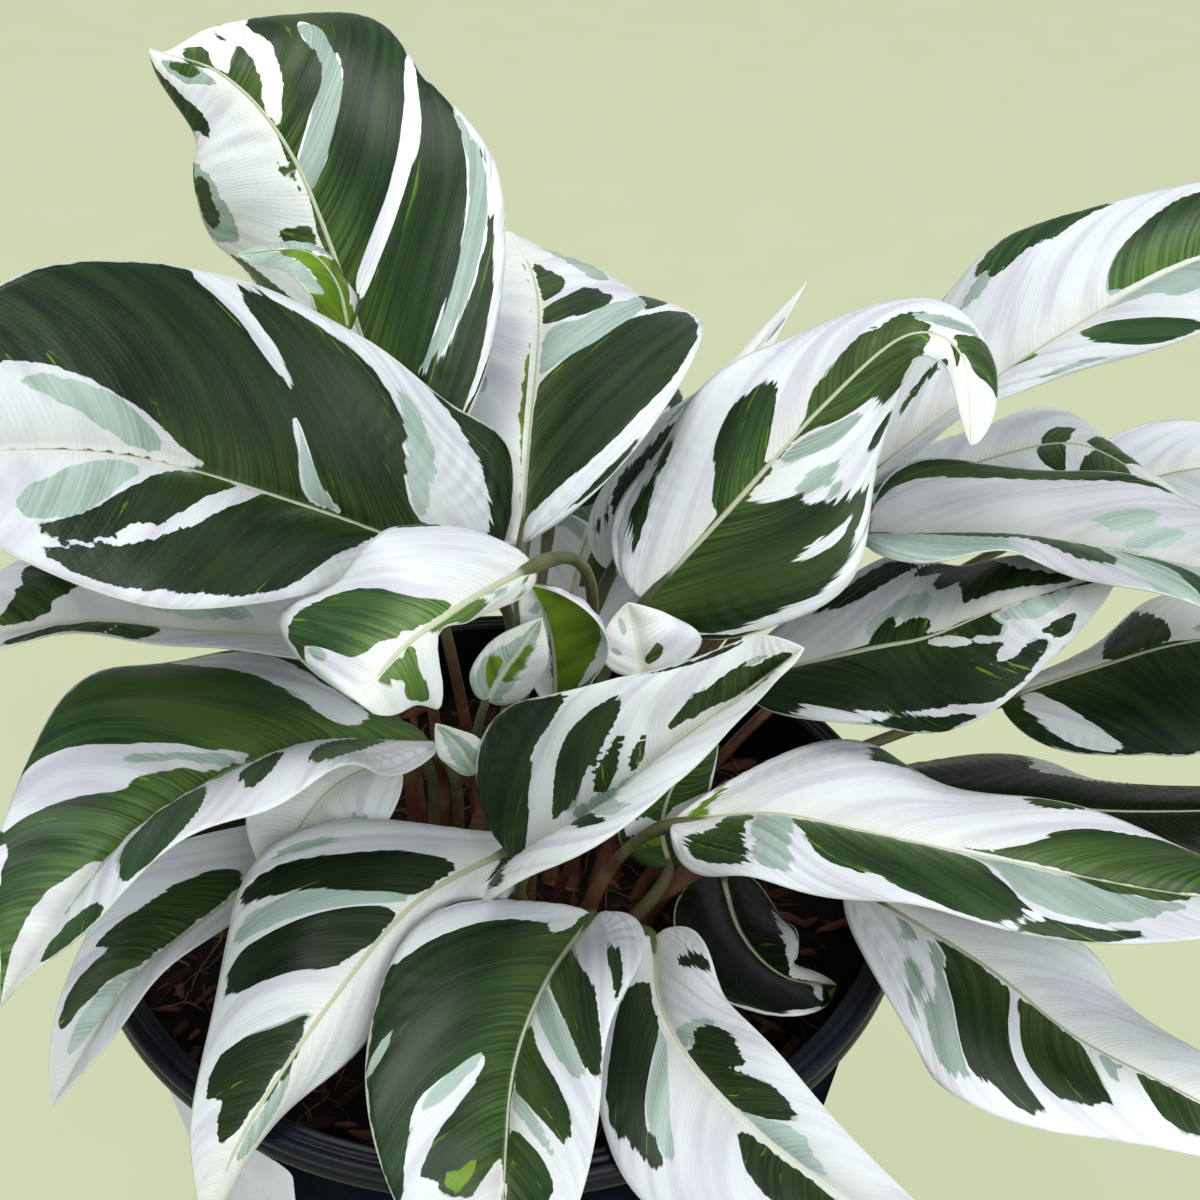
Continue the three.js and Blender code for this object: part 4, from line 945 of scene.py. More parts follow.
def relief(place, seed):
    """Height of the pleats, which follow the veins, of uneven patches, and of the groove over the rib."""
    near_rib = np.clip(place.from_rib / PLEAT_FADE_AT_RIB, 0, 1)
    fade = near_rib * np.clip(place.from_margin / PLEAT_FADE_AT_MARGIN, 0, 1)
    drift = PLEAT_DRIFT * ripple(place.vein / 14, place.sideways / 20, seed)
    pleats = PLEAT_HEIGHT * np.cos(TURN * (place.vein / PLEAT_PERIOD + drift)) * fade
    patches = PATCH_HEIGHT * ripple(place.vein / PATCH_SIZE, place.sideways / PATCH_SIZE, seed + PATCH_SEED)
    patches = patches * np.clip(place.from_rib / PATCH_FADE_AT_RIB, 0, 1)
    groove = np.exp(-((place.from_rib / GROOVE_WIDTH) ** 2))
    last_fifth = np.clip((1 - place.share_along) * 5, 0, 1)
    return pleats + patches - GROOVE_DEPTH * (groove * last_fifth)


def stalk_mesh(shape, seed, along, rib_normals):
    """Points, faces and attributes of a stalk that runs on as the rib under the blade.

    It has a sheath at the mix, a thicker joint below the blade, and a rib that tapers to the tip.
    """
    rib_along = np.linspace(STALK_TOP, RIB_END, RIB_STEPS)[1:]
    above = unit(np.stack([np.interp(rib_along, along, rib_normals[:, axis]) for axis in range(3)], -1))
    rib_radius = np.interp(rib_along, *zip(*RIB_RADII))
    below = BLADE_THICKNESS / 2 + RIB_HANG * rib_radius
    under_rib = smooth_curve(rib_points(shape), rib_along)[0] - above * below[:, None]

    stalk = stalk_path(shape)
    run = np.concatenate([[0], step_lengths(stalk).cumsum()])
    end = run[-1]
    dip = np.clip(1 - (end - run) / STALK_DIP_LENGTH, 0, 1) ** 2
    stalk = stalk - above[0] * (below[0] * dip)[:, None]
    joint = [max(end - back, SHEATH_PLACES[-1] + step) for step, back in enumerate(JOINT_PLACES, 1)]
    stalk_radius = np.interp(run, SHEATH_PLACES + joint, SHEATH_RADII + JOINT_RADII)

    slender = YOUNG_STALK_SHARE if shape["young"] else 1
    radii = np.concatenate([stalk_radius, rib_radius]) * slender
    points, faces = tube(np.vstack([stalk, under_rib]), radii, STALK_SIDES)
    run = np.repeat(np.concatenate([run, np.full(len(under_rib), end)]), STALK_SIDES)
    on_rib = np.repeat(np.concatenate([np.zeros(len(stalk)), rib_along]), STALK_SIDES)
    none = np.zeros_like(run)
    attributes = {
        "marks": np.full_like(points, -GROUND_DEPTH),
        "vein": np.stack([run, run / end, none + seed * SEED_SPACING], -1),
        "edges": np.stack([none, none, on_rib], -1),
        "tone": np.ones_like(points),
    }
    return points, faces, attributes


def leaf_piece(shape, seed, materials):
    """One leaf: its blade with pleats and markings, and its stalk with the rib."""
    length = step_lengths(smooth_curve(rib_points(shape), np.linspace(0, 1, LENGTH_STEPS))[0]).sum()
    rows = int(np.clip(length / ROW_SPACING, FEWEST_ROWS, MOST_ROWS)) + 1
    columns = 2 * shape["columns"] + 1
    even = np.linspace(0, 1, rows)
    along = even - ROW_CROWDING * np.sin(TURN * even) / TURN
    across = np.linspace(-1, 1, columns)
    place = blade_places(shape, along, across, length)

    grid = blade_points(shape, along, across)
    grid = grid + surface_normals(grid) * relief(place, seed)[..., None]
    normals = surface_normals(grid)
    inward = np.clip(place.from_margin / MARGIN_WIDTH, 0, 1)
    share = MARGIN_THICKNESS_SHARE + (1 - MARGIN_THICKNESS_SHARE) * inward
    half = normals * (BLADE_THICKNESS * share)[..., None] / 2
    blade = {
        "marks": blade_marks(shape, place, length),
        "vein": np.stack([place.vein, place.sideways, np.full_like(place.vein, seed * SEED_SPACING)], -1),
        "edges": np.stack([place.from_margin, place.from_rib, place.share_along], -1),
        # The tone pair is painted light and shade: the leaf's whites and greens made lighter or darker for
        # the light it gets.
        "tone": np.zeros_like(grid) + (*shape["tone"], 0),
    }
    stalk_points, stalk_faces, stalk = stalk_mesh(shape, seed, along, normals[:, columns // 2])

    points = np.vstack([(grid + half).reshape(-1, 3), (grid - half).reshape(-1, 3), stalk_points])
    top, bottom, edge = sheet_faces(rows, columns)
    first = 2 * rows * columns
    faces = top + bottom + edge + [tuple(first + k for k in face) for face in stalk_faces]
    slots = np.repeat([BLADE_TOP, BLADE_UNDERSIDE, BLADE_TOP, STALK],
                      [len(top), len(bottom), len(edge), len(stalk_faces)])
    attributes = {key: np.vstack([blade[key].reshape(-1, 3)] * 2 + [stalk[key]]) for key in blade}
    piece = mesh_piece(shape["name"] + "_leaf", points, faces, materials, slots, attributes)
    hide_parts("leaf_" + shape["name"])


# ---------------------------------------------------------------- materials


class Nodes:
    """A material's node tree, with short calls for the nodes used here."""

    def __init__(self, name):
        self.material = bpy.data.materials.new(name)
        self.material.use_nodes = True
        self.tree = self.material.node_tree
        self.tree.nodes.clear()
        output = self.tree.nodes.new("ShaderNodeOutputMaterial")
        self.shader = self.tree.nodes.new("ShaderNodeBsdfPrincipled")
        self.tree.links.new(self.shader.outputs[0], output.inputs[0])

    def feed(self, socket, value):
        """Links a socket's value, or sets a plain number or colour."""
        if isinstance(value, bpy.types.NodeSocket):
            self.tree.links.new(value, socket)
        elif isinstance(value, tuple) and len(value) == 3 and socket.type == "RGBA":
            socket.default_value = (*value, 1)
        else:
            socket.default_value = value

    def math(self, operation, *values):
        node = self.tree.nodes.new("ShaderNodeMath")
        node.operation = operation
        for socket, value in zip(node.inputs, values):
            self.feed(socket, value)
        return node.outputs[0]

    def add(self, first, second):
        return self.math("ADD", first, second)

    def times(self, first, second):
        return self.math("MULTIPLY", first, second)

    def attribute(self, name):
        """The three numbers of a point attribute."""
        node = self.tree.nodes.new("ShaderNodeAttribute")
        node.attribute_name = name
        return self.split(node.outputs["Vector"])

    def split(self, vector):
        node = self.tree.nodes.new("ShaderNodeSeparateXYZ")
        self.tree.links.new(vector, node.inputs[0])
        return node.outputs[0], node.outputs[1], node.outputs[2]

    def position(self):
        """The object's own coordinates, in millimetres."""
        place = self.tree.nodes.new("ShaderNodeTexCoord")
        scale = self.tree.nodes.new("ShaderNodeVectorMath")
        scale.operation = "SCALE"
        self.tree.links.new(place.outputs["Object"], scale.inputs[0])
        scale.inputs["Scale"].default_value = 1 / MM
        return scale.outputs[0]

    def vector(self, x, y, z):
        node = self.tree.nodes.new("ShaderNodeCombineXYZ")
        for socket, value in zip(node.inputs, (x, y, z)):
            self.feed(socket, value)
        return node.outputs[0]

    def noise(self, vector, scale=1.0, detail=2.0, roughness=0.5):
        """Noise of about 0 to 1 with its middle at 0.5."""
        node = self.tree.nodes.new("ShaderNodeTexNoise")
        self.tree.links.new(vector, node.inputs["Vector"])
        node.inputs["Scale"].default_value = scale
        node.inputs["Detail"].default_value = detail
        node.inputs["Roughness"].default_value = roughness
        return node.outputs[0]

    def between(self, value, low, high, start=0.0, end=1.0):
        """Start below low, end above high, and a smooth step between."""
        node = self.tree.nodes.new("ShaderNodeMapRange")
        node.interpolation_type = "SMOOTHSTEP"
        for socket, item in zip(node.inputs, (value, low, high, start, end)):
            self.feed(socket, item)
        return node.outputs[0]

    def mix(self, share, first, second, blend="MIX"):
        node = self.tree.nodes.new("ShaderNodeMix")
        node.data_type = "RGBA"
        node.blend_type = blend
        self.feed(node.inputs["Factor"], share)
        self.feed(node.inputs[6], first)
        self.feed(node.inputs[7], second)
        return node.outputs[2]

    def lightened(self, colour, tone):
        """A colour multiplied by a number."""
        return self.mix(1.0, colour, self.vector(tone, tone, tone), "MULTIPLY")

    def bump(self, height, distance, strength):
        node = self.tree.nodes.new("ShaderNodeBump")
        node.inputs["Strength"].default_value = strength
        node.inputs["Distance"].default_value = distance
        self.tree.links.new(height, node.inputs["Height"])
        return node.outputs[0]

    def set(self, **values):
        """Sets the shader's sockets by name, with _ for a space."""
        for key, value in values.items():
            self.feed(self.shader.inputs[key.replace("_", " ")], value)
        return self.material


class BladeNodes(Nodes):
    """A blade's node tree, with the places and depths that its points carry, in millimetres."""

    def __init__(self, name):
        super().__init__(name)
        self.green_depth, self.sage_depth, self.lime_depth = self.attribute("marks")
        self.vein, self.sideways, self.seed = self.attribute("vein")
        self.from_margin, self.from_rib, self.along = self.attribute("edges")
        # Per-leaf multipliers of the white and the green, which paint light and shade onto the leaf.
        self.white_tone, self.green_tone, _ = self.attribute("tone")

    def streaks(self, across, lengthways, shift, detail=2.0):
        """Noise drawn out along the veins: its grain across and along them. Shifts keep noises apart."""
        x = self.math("DIVIDE", self.vein, across)
        y = self.math("DIVIDE", self.sideways, lengthways)
        return self.noise(self.vector(x, y, self.add(self.seed, shift)), 1.0, detail, 0.55)

    def swing(self, noise, amount):
        """Noise moved to swing about 0."""
        return self.times(self.math("SUBTRACT", noise, 0.5), amount)


def blade_areas(n):
    """Shares of sage, green, lime and lime flecks, with ragged edges that follow the veins."""
    teeth = n.swing(n.streaks(1.8, 9.0, 0.0, 3.0), 1.7)
    bays = n.swing(n.streaks(5.0, 18.0, 9.0), 2.6)
    calmer_at_margin = n.between(n.from_margin, 0.0, 5.0, 0.4, 1.0)
    ragged = n.times(n.add(teeth, bays), calmer_at_margin)
    green_edge = n.add(n.green_depth, ragged)
    lime_edge = n.add(n.lime_depth, ragged)
    sage_edge = n.add(n.sage_depth, n.add(ragged, n.swing(n.streaks(2.5, 10.0, 33.0), 1.0)))

    # Sage also shows as a broken fringe round the green, and lime as flecks just inside it.
    fringe = n.math("SUBTRACT", n.swing(n.streaks(6.0, 20.0, 21.0), 6.5), 0.6)
    washed = n.add(green_edge, fringe)
    sage = n.math("MAXIMUM", n.between(sage_edge, -0.15, 0.15), n.between(washed, -0.3, 0.3))
    just_inside = n.times(n.between(green_edge, 0.0, 0.3), n.between(green_edge, 2.0, 4.5, 1.0, 0.0))
    flecks = n.times(n.between(n.streaks(1.8, 9.0, 47.0, 3.0), 0.66, 0.7), just_inside)
    return sage, n.between(green_edge, -0.12, 0.12), n.between(lime_edge, -0.15, 0.15), flecks


def blade_tones(n, palette):
    """White, sage, green and lime, each with its own slow and fine changes along the veins."""
    slow = n.streaks(6.0, 26.0, 61.0)
    fine = n.streaks(0.7, 30.0, 75.0)
    broad = n.streaks(20.0, 30.0, 88.0)
    white = n.mix(n.between(slow, 0.42, 0.68), palette["white"], palette["white_tint"])
    white = n.mix(n.between(n.from_rib, 0.5, 7.0, 0.55, 0.0), white, palette["cream"])
    sage = n.mix(n.between(slow, 0.35, 0.65), palette["sage"], palette["sage_dark"])
    sage = n.mix(n.between(fine, 0.4, 0.7, 0.0, 0.35), sage, palette["sage_light"])
    green = n.mix(n.between(slow, 0.35, 0.65), palette["green"], palette["green_dark"])
    green = n.mix(n.between(broad, 0.5, 0.72, 0.0, 0.8), green, palette["green_warm"])
    green = n.mix(n.between(fine, 0.45, 0.75, 0.0, 0.35), green, palette["green_light"])
    near_rib = n.between(n.from_rib, 0.5, 11.0, 1.0, 0.0)
    by_rib = n.times(near_rib, n.between(fine, 0.35, 0.65, 0.15, 0.75))
    green = n.mix(by_rib, green, palette["green_by_rib"])
    lime = n.mix(n.between(slow, 0.4, 0.65), palette["lime"], palette["lime_dark"])
    # The white and the green are lightened or darkened per leaf: painted light and shade.
    return n.lightened(white, n.white_tone), sage, n.lightened(green, n.green_tone), lime


def blade_material(name, palette, roughness, vein_strength):
    """A blade's skin: its areas of colour, fine side veins, the pale rib and the thin margin."""
    n = BladeNodes(name)
    is_sage, is_green, is_lime, is_fleck = blade_areas(n)
    white, sage, green, lime = blade_tones(n, palette)
    colour = n.mix(is_sage, white, sage)
    colour = n.mix(is_green, colour, green)
    colour = n.mix(n.math("MAXIMUM", is_lime, is_fleck), colour, lime)

    # Side veins 1.05 mm apart that wander and fade in and out, a third as strong on green and lime.
    wander = n.times(n.streaks(3.0, 20.0, 101.0), 5.0)
    wave = n.math("SINE", n.add(n.times(n.vein, TURN / 1.05), wander))
    coloured = n.math("MAXIMUM", is_green, is_lime)
    strength = n.math("MULTIPLY_ADD", coloured, -2 / 3 * vein_strength, vein_strength)
    shown = n.times(n.between(wave, 0.3, 1.0), n.between(n.streaks(5.0, 12.0, 115.0), 0.35, 0.6))
    vein_colour = n.mix(coloured, palette["vein_on_white"], palette["vein_on_green"])
    colour = n.mix(n.times(shown, strength), colour, vein_colour)

    rib_width = n.between(n.along, 0.0, 0.9, 0.5, 0.1)
    on_rib = n.between(n.math("SUBTRACT", n.from_rib, rib_width), -0.15, 0.25, 0.75, 0.0)
    colour = n.mix(on_rib, colour, palette["rib"])
    margin_width = n.add(n.swing(n.streaks(6.0, 40.0, 131.0), 1.4), 0.3)
    on_margin = n.between(n.math("SUBTRACT", n.from_margin, margin_width), -0.1, 0.12, 0.75, 0.0)
    colour = n.mix(on_margin, colour, palette["margin"])

    skin = n.noise(n.vector(n.vein, n.sideways, n.seed), 3.0)
    height = n.add(n.times(wave, 0.12), n.times(skin, 0.5))
    return n.set(
        Base_Color=colour,
        Roughness=n.add(roughness, n.swing(n.streaks(9.0, 12.0, 143.0), 0.22)),
        Specular_IOR_Level=0.22,
        Normal=n.bump(height, 0.00006, 0.55),
    )


TOP_PALETTE = {
    "white": (0.77, 0.80, 0.81), "white_tint": (0.62, 0.62, 0.67), "cream": (0.75, 0.76, 0.64),
    "sage": (0.37, 0.49, 0.42), "sage_dark": (0.24, 0.34, 0.27), "sage_light": (0.54, 0.64, 0.56),
    "green": (0.019, 0.050, 0.013), "green_dark": (0.006, 0.021, 0.005),
    "green_warm": (0.042, 0.076, 0.015), "green_light": (0.045, 0.100, 0.032),
    "green_by_rib": (0.095, 0.17, 0.035), "lime": (0.15, 0.26, 0.014), "lime_dark": (0.07, 0.14, 0.010),
    "vein_on_white": (0.55, 0.56, 0.60), "vein_on_green": (0.05, 0.11, 0.05),
    "rib": (0.64, 0.70, 0.52), "margin": (0.70, 0.75, 0.67),
}
UNDER_PALETTE = {
    "white": (0.66, 0.63, 0.68), "white_tint": (0.50, 0.42, 0.53), "cream": (0.66, 0.66, 0.56),
    "sage": (0.34, 0.37, 0.34), "sage_dark": (0.26, 0.27, 0.27), "sage_light": (0.45, 0.47, 0.45),
    "green": (0.11, 0.14, 0.10), "green_dark": (0.08, 0.07, 0.08), "green_warm": (0.15, 0.17, 0.10),
    "green_light": (0.17, 0.20, 0.15), "green_by_rib": (0.18, 0.21, 0.12), "lime": (0.20, 0.28, 0.08),
    "lime_dark": (0.14, 0.18, 0.07), "vein_on_white": (0.45, 0.40, 0.46),
    "vein_on_green": (0.09, 0.08, 0.09), "rib": (0.50, 0.56, 0.34), "margin": (0.66, 0.68, 0.62),
}


def stalk_material():
    """Stalks: reddish at the mix, olive higher up, pale where they run under the blade."""
    n = Nodes("leaf_stalk")
    run, share, seed = n.attribute("vein")
    _, _, on_rib = n.attribute("edges")
    place = n.position()
    streak = n.noise(n.vector(n.math("DIVIDE", run, 9.0), seed, n.noise(place, 0.6)), 1.0, 3.0)
    light = n.between(streak, 0.4, 0.65)
    red = n.mix(light, (0.10, 0.035, 0.022), (0.20, 0.10, 0.05))
    olive = n.mix(light, (0.07, 0.085, 0.03), (0.13, 0.125, 0.055))
    pale = (0.50, 0.54, 0.36)
    colour = n.mix(n.between(n.add(share, n.times(streak, 0.5)), 0.6, 1.1), red, olive)
    colour = n.mix(n.between(on_rib, 0.01, 0.12), colour, pale)
    bumps = n.bump(n.noise(place, 1.6, 3.0), 0.0002, 0.5)
    return n.set(Base_Color=colour, Roughness=0.42, Specular_IOR_Level=0.4, Normal=bumps)


def soil_material():
    """Potting mix: near-black crumb, reddish bark and tan root fibres, told apart by kind."""
    n = Nodes("potting_mix")
    kind, shade, _ = n.attribute("tone")
    place = n.position()
    crumb = n.noise(place, 0.9, 6.0, 0.7)
    grain = n.noise(place, 3.0, 4.0, 0.6)
    mix = n.mix(n.between(crumb, 0.42, 0.62), (0.004, 0.003, 0.002), (0.026, 0.013, 0.008))
    bark = n.mix(shade, (0.025, 0.010, 0.006), (0.34, 0.15, 0.085))
    bark = n.mix(n.between(grain, 0.35, 0.7, 0.0, 0.6), bark, (0.05, 0.022, 0.014))
    fibre = n.mix(shade, (0.11, 0.045, 0.022), (0.36, 0.20, 0.11))
    colour = n.mix(n.between(kind, 0.4, 0.6), mix, bark)
    colour = n.mix(n.between(kind, 1.4, 1.6), colour, fibre)
    rough = n.between(crumb, 0.35, 0.65, 0.62, 0.95)
    bumps = n.bump(grain, 0.0006, 0.8)
    return n.set(Base_Color=colour, Roughness=rough, Specular_IOR_Level=0.25, Normal=bumps)


def pot_material():
    """Black nursery-pot plastic with faint scuffs and dust, glossy on the collar and dull on the wall."""
    n = Nodes("pot_plastic")
    place = n.position()
    _, _, height = n.split(place)
    cloud = n.noise(place, 0.035, 4.0, 0.6)
    scuff = n.noise(place, 0.8, 5.0, 0.7)
    colour = n.mix(n.between(cloud, 0.4, 0.7), (0.004, 0.006, 0.010), (0.008, 0.011, 0.018))
    colour = n.mix(n.between(scuff, 0.62, 0.75, 0.0, 0.35), colour, (0.05, 0.055, 0.06))
    rough = n.add(n.between(cloud, 0.3, 0.7, 0.3, 0.42), n.between(scuff, 0.55, 0.8, 0.0, 0.16))
    shine = n.between(height, COLLAR_UNDERSIDE - 3, COLLAR_UNDERSIDE, 0.0, 0.2)
    bumps = n.bump(scuff, 0.00008, 0.5)
    return n.set(Base_Color=colour, Roughness=rough, Specular_IOR_Level=shine, Normal=bumps)


def paper_material():
    """A blank coated paper label, a little cool and uneven."""
    n = Nodes("label_paper")
    place = n.position()
    fibre = n.noise(place, 1.4, 5.0, 0.6)
    stain = n.noise(place, 0.07, 3.0)
    colour = n.mix(n.between(stain, 0.4, 0.7), (0.80, 0.80, 0.94), (0.70, 0.70, 0.84))
    colour = n.mix(n.between(fibre, 0.45, 0.7, 0.0, 0.2), colour, (0.46, 0.48, 0.54))
    bumps = n.bump(fibre, 0.00004, 0.4)
    return n.set(Base_Color=colour, Roughness=0.5, Specular_IOR_Level=0.0, Normal=bumps)


def floor_material():
    """A pale green backdrop lit evenly, with only a trace of shadow."""
    n = Nodes("pale_floor")
    speckle = n.noise(n.position(), 0.02, 3.0)
    glow = n.mix(n.between(speckle, 0.3, 0.7), (0.61, 0.665, 0.43), (0.62, 0.675, 0.44))
    return n.set(
        Base_Color=(0.09, 0.10, 0.07),
        Emission_Color=glow,
        Emission_Strength=0.895,
        Roughness=0.95,
        Specular_IOR_Level=0.0,
    )


# ---------------------------------------------------------------- pot, mix and label


def pot_piece(material):
    """The pot: a thin tapered wall on a foot ring, under a collar with three fine rings on its top.

    Its profile runs along the underside, up the outside, over the collar and down the inside.
    """
    collar = [
        (78.55, 133.2), (78.75, 134.6), (79.6, 135.0), (81.8, 135.0), (82.4, 135.3), (82.5, 136.0),
        (82.35, 136.8), (82.1, 137.3), (82.1, 137.7), (82.4, 138.2), (82.5, 138.8), (82.2, 139.5),
        (81.6, 139.9), (81.0, 139.9), (80.6, 139.6), (80.3, 139.5), (80.0, 139.6), (79.6, 139.95),
        (79.2, 140.0), (78.9, 139.8), (78.6, 139.7), (78.3, 139.8), (77.9, 139.95), (77.5, 139.8),
        (77.15, 139.3), (77.0, 138.5),
    ]
    foot = [(0, 1.4), (53, 1.4), (54.5, 1.1), (55.3, 0.2), (56, 0), (59.6, 0), (60.6, 0.4), (61.1, 1.2)]
    outside = [(wall_radius(z), z) for z in np.linspace(2.2, 132, 14)]
    smooth_collar = smooth_curve(collar, np.linspace(0, 1, COLLAR_STEPS))[0].tolist()
    inside = [(wall_radius(z) - WALL, z) for z in np.linspace(137, FLOOR + 1.5, 16)]
    corner = wall_radius(FLOOR) - WALL
    well = [(corner - 0.9, FLOOR + 0.3), (corner - 2.2, FLOOR), (0, FLOOR)]
    points, faces = lathe(foot + outside + smooth_collar + inside + well, POT_SEGMENTS)
    piece = mesh_piece("nursery_pot", points, faces, [material])
    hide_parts("pot")


def soil_height(x, y):
    """The mix's top: flat in the middle, lower at the wall, and lumpy."""
    distance = np.hypot(x, y)
    slope = np.clip((distance - SOIL_FLAT_RADIUS) / (BORE_RADIUS - SOIL_FLAT_RADIUS), 0, 1)
    lumps = 0.9 * ripple(x / 6, y / 6, 71) + 0.45 * ripple(x / 2.3, y / 2.3, 72) + 0.25 * ripple(x, y, 73)
    return SOIL_HEIGHT - SOIL_EDGE_DROP * slope + lumps - SOIL_SINK


def surface_height(x, y):
    """The mix's top at one place."""
    return float(soil_height(np.array(x), np.array(y)))


def random_place(reach):
    """A place on the mix at most reach from its middle, all places equally likely."""
    radius = reach * math.sqrt(rng.uniform())
    angle = rng.uniform(0, TURN)
    return radius * math.cos(angle), radius * math.sin(angle)


def bark_chip():
    """A rough bark chip lying on the mix, its rings flattened and turned at random."""
    x, y = random_place(BORE_RADIUS - CHIP_CLEARANCE)
    size = 0.9 + 3.0 * rng.uniform() ** 2.5
    points = []
    for height, radius in CHIP_RINGS:
        for k in range(CHIP_CORNERS):
            angle = k * TURN / CHIP_CORNERS
            push = rng.uniform(0.75, 1.15)
            points.append((height * rng.uniform(0.9, 1.1), radius * push * math.cos(angle),
                           radius * push * math.sin(angle)))
    scale = np.array([1.3, rng.uniform(0.22, 0.5), rng.uniform(0.15, 0.3)]) * size
    turn = Matrix.Rotation(rng.uniform(0, TURN), 3, "Z")
    lean = Matrix.Rotation(rng.normal(0, 0.35), 3, "Y") @ Matrix.Rotation(rng.normal(0, 0.4), 3, "X")
    placed = (np.array(points) * scale) @ np.array(turn @ lean).T
    placed = placed + (x, y, surface_height(x, y) + 0.15 * size)
    return placed, ringed_faces(len(CHIP_RINGS), CHIP_CORNERS)


def root_fibre():
    """A thin root fibre that wanders over the mix in a low arch, or None where the wall cuts it short."""
    x, y = random_place(BORE_RADIUS - FIBRE_CLEARANCE)
    heading = rng.uniform(0, TURN)
    hump = rng.uniform(0.3, 3.2)
    steps = int(rng.integers(7, 13))
    line = []
    for k in range(steps):
        line.append((x, y, surface_height(x, y) + hump * math.sin(math.pi * k / (steps - 1)) - 0.2))
        heading += rng.normal(0, 0.35)
        x, y = x + FIBRE_STEP * math.cos(heading), y + FIBRE_STEP * math.sin(heading)
        if math.hypot(x, y) > BORE_RADIUS - FIBRE_END_CLEARANCE:
            break
    if len(line) < 4:
        return None
    thick = rng.uniform(0.12, 0.3)
    return tube(line, np.linspace(thick, thick * 0.5, len(line)), 5)


def soil_piece(material):
    """The mix as one closed lump, with bark chips and root fibres sunk in its top."""
    bottom = FLOOR + SOIL_GAP
    wall = [(wall_radius(z) - WALL - SOIL_GAP, z) for z in (bottom, 40, 80, 110)]
    edge_radius = wall_radius(SOIL_HEIGHT - SOIL_EDGE_DROP) - WALL - SOIL_GAP
    top = [(edge_radius * k / SOIL_RINGS, SOIL_HEIGHT) for k in range(SOIL_RINGS, -1, -1)]
    lump, faces = lathe([(0, bottom), *wall, *top], SOIL_SEGMENTS)
    on_top = lump[:, 2] == SOIL_HEIGHT
    lump[on_top, 2] = soil_height(lump[on_top, 0], lump[on_top, 1])
    points = [lump]
    tones = [np.full_like(lump, LUMP)]
    count = len(lump)
    for kind, number, make in ((BARK, CHIP_COUNT, bark_chip), (FIBRE, FIBRE_COUNT, root_fibre)):
        for _ in range(number):
            made = make()
            if made is None:
                continue
            points.append(made[0])
            faces += [tuple(count + k for k in face) for face in made[1]]
            tones.append(np.tile([kind, rng.uniform() ** 1.5, rng.uniform()], (len(made[0]), 1)))
            count += len(made[0])
    attributes = {"tone": np.vstack(tones)}
    piece = mesh_piece("potting_mix", np.vstack(points), faces, [material], attributes=attributes)
    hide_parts("soil")


def label_piece(material):
    """A blank sticker bent round the wall, with rounded corners."""
    columns, rows = 40, 50
    grid = np.zeros((rows + 1, columns + 1, 3))
    for row in range(rows + 1):
        upwards = LABEL_HEIGHT * (row / rows - 0.5)
        past = max(abs(upwards) - (LABEL_HEIGHT / 2 - LABEL_CORNER), 0)
        cut = LABEL_CORNER - math.sqrt(max(LABEL_CORNER ** 2 - past ** 2, 0))
        for column in range(columns + 1):
            sideways = (LABEL_WIDTH - 2 * cut) * (column / columns - 0.5)
            x = sideways * math.cos(LABEL_TILT) + upwards * math.sin(LABEL_TILT)
            y = -sideways * math.sin(LABEL_TILT) + upwards * math.cos(LABEL_TILT)
            height = LABEL_MIDDLE_HEIGHT + y
            angle = LABEL_AZIMUTH + x / wall_radius(LABEL_MIDDLE_HEIGHT)
            radius = wall_radius(height) + LABEL_GAP
            grid[row, column] = (radius * math.cos(angle), radius * math.sin(angle), height)
    outwards = unit(grid * (1, 1, 0))
    top, bottom, edge = sheet_faces(rows + 1, columns + 1)
    points = np.vstack([(grid + outwards * LABEL_THICKNESS).reshape(-1, 3), grid.reshape(-1, 3)])
    piece = mesh_piece("blank_label", points, top + bottom + edge, [material])
    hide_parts("label")


# ---------------------------------------------------------------- camera, floor and light


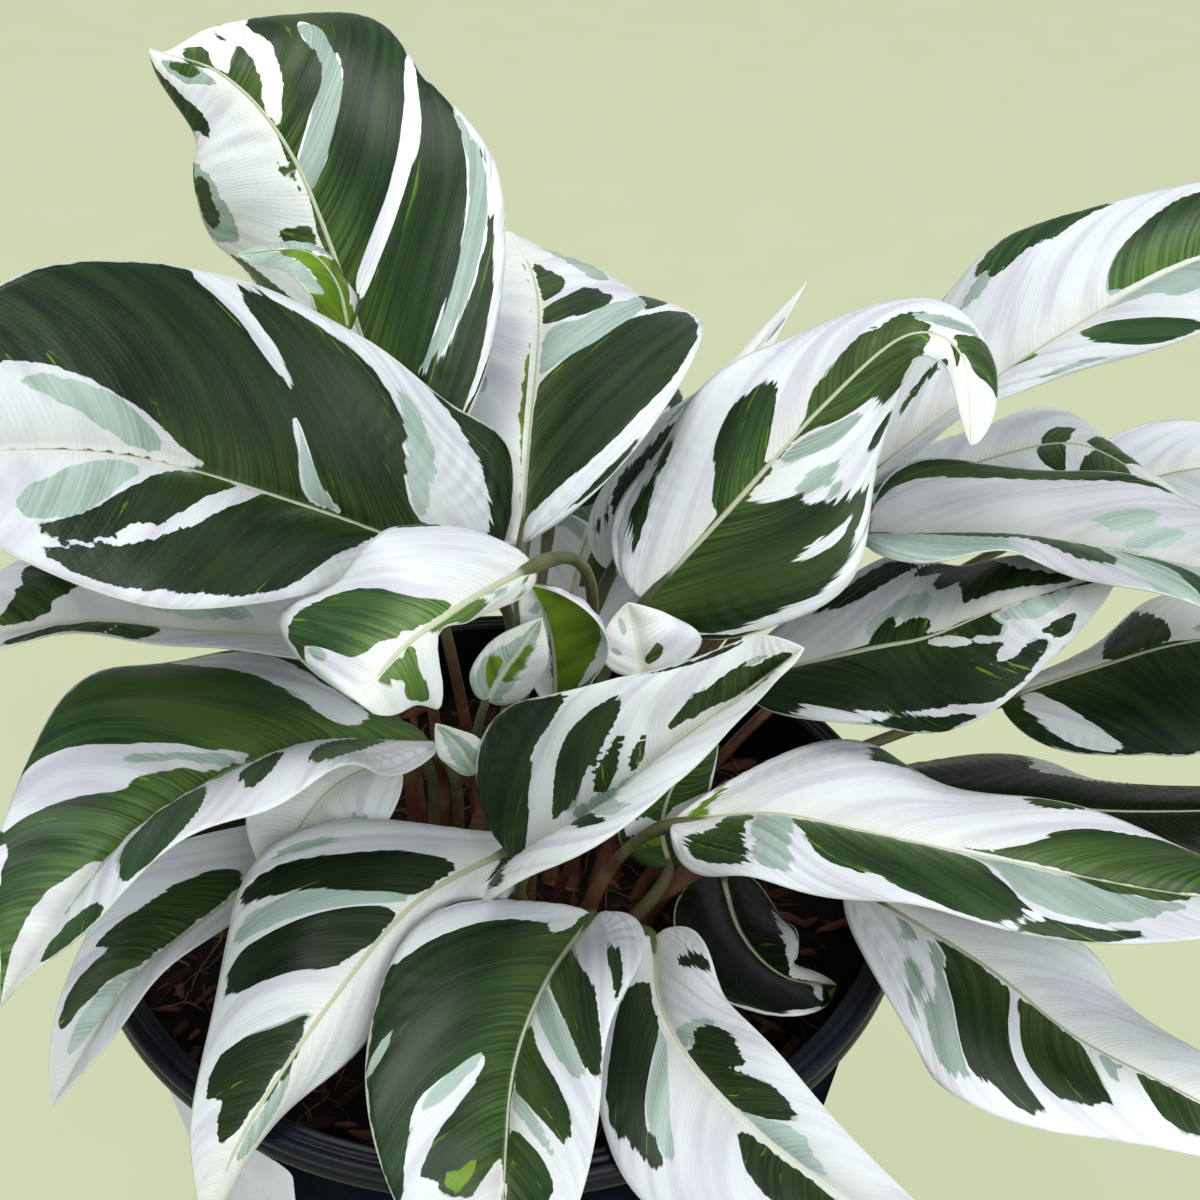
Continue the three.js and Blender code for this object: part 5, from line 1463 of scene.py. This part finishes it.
def add_camera(place, pitch, roll, lens):
    """The photograph's view: a place in metres, its pitch down and its roll in degrees, and its lens."""
    pitch, roll = math.radians(pitch), math.radians(roll)
    forward = Vector((0, math.cos(pitch), -math.sin(pitch)))
    right = Vector((1, 0, 0))
    above = right.cross(forward)
    picture_right = right * math.cos(roll) + above * math.sin(roll)
    picture_up = above * math.cos(roll) - right * math.sin(roll)
    data = bpy.data.cameras.new("camera")
    data.lens = lens
    data.sensor_width = 36
    data.clip_start = 0.01
    camera = bpy.data.objects.new("camera", data)
    turn = Matrix((picture_right, picture_up, -forward)).transposed().to_4x4()
    camera.matrix_world = Matrix.Translation(place) @ turn
    bpy.context.scene.collection.objects.link(camera)
    bpy.context.scene.camera = camera


def add_floor(half):
    """A square floor that reaches half metres each way."""
    mesh = bpy.data.meshes.new("floor")
    corners = [(-half, -half, 0), (half, -half, 0), (half, half, 0), (-half, half, 0)]
    mesh.from_pydata(corners, [], [(0, 1, 2, 3)])
    mesh.materials.append(floor_material())
    floor = bpy.data.objects.new("floor", mesh)
    bpy.context.scene.collection.objects.link(floor)


def add_area_light(name, place, target, size, watts, colour):
    """A round soft light at a place, aimed at a target, in metres."""
    data = bpy.data.lights.new(name, "AREA")
    data.shape = "DISK"
    data.size = size
    data.energy = watts
    data.color = colour
    light = bpy.data.objects.new(name, data)
    aim = Vector(target) - Vector(place)
    light.matrix_world = Matrix.Translation(place) @ aim.to_track_quat("-Z", "Y").to_matrix().to_4x4()
    bpy.context.scene.collection.objects.link(light)


def add_world(colour, strength):
    world = bpy.data.worlds.new("studio")
    world.use_nodes = True
    sky = world.node_tree.nodes["Background"]
    sky.inputs[0].default_value = (*colour, 1)
    sky.inputs[1].default_value = strength
    bpy.context.scene.world = world
    bpy.context.scene.view_settings.view_transform = "Standard"


add_camera(place=(0.019, -0.246, 0.366), pitch=34, roll=1, lens=48)
add_world(colour=(0.88, 0.94, 1.0), strength=0.58)
PLANT_MIDDLE = (0, 0, 0.2)
add_area_light("key", (-0.15, -0.1, 1.45), PLANT_MIDDLE, size=0.8, watts=9.0, colour=(1.0, 0.99, 0.97))
add_area_light("fill", (0.6, -0.95, 0.9), PLANT_MIDDLE, size=0.9, watts=9.0, colour=(0.95, 0.97, 1.0))
add_floor(half=6.0)

leaf_materials = [
    blade_material("leaf_top", TOP_PALETTE, roughness=0.36, vein_strength=0.45),
    blade_material("leaf_underside", UNDER_PALETTE, roughness=0.55, vein_strength=0.4),
    stalk_material(),
]
for number, shape in enumerate(LEAVES, 1):
    leaf_piece(shape, number, leaf_materials)
pot_piece(pot_material())
soil_piece(soil_material())
label_piece(paper_material())
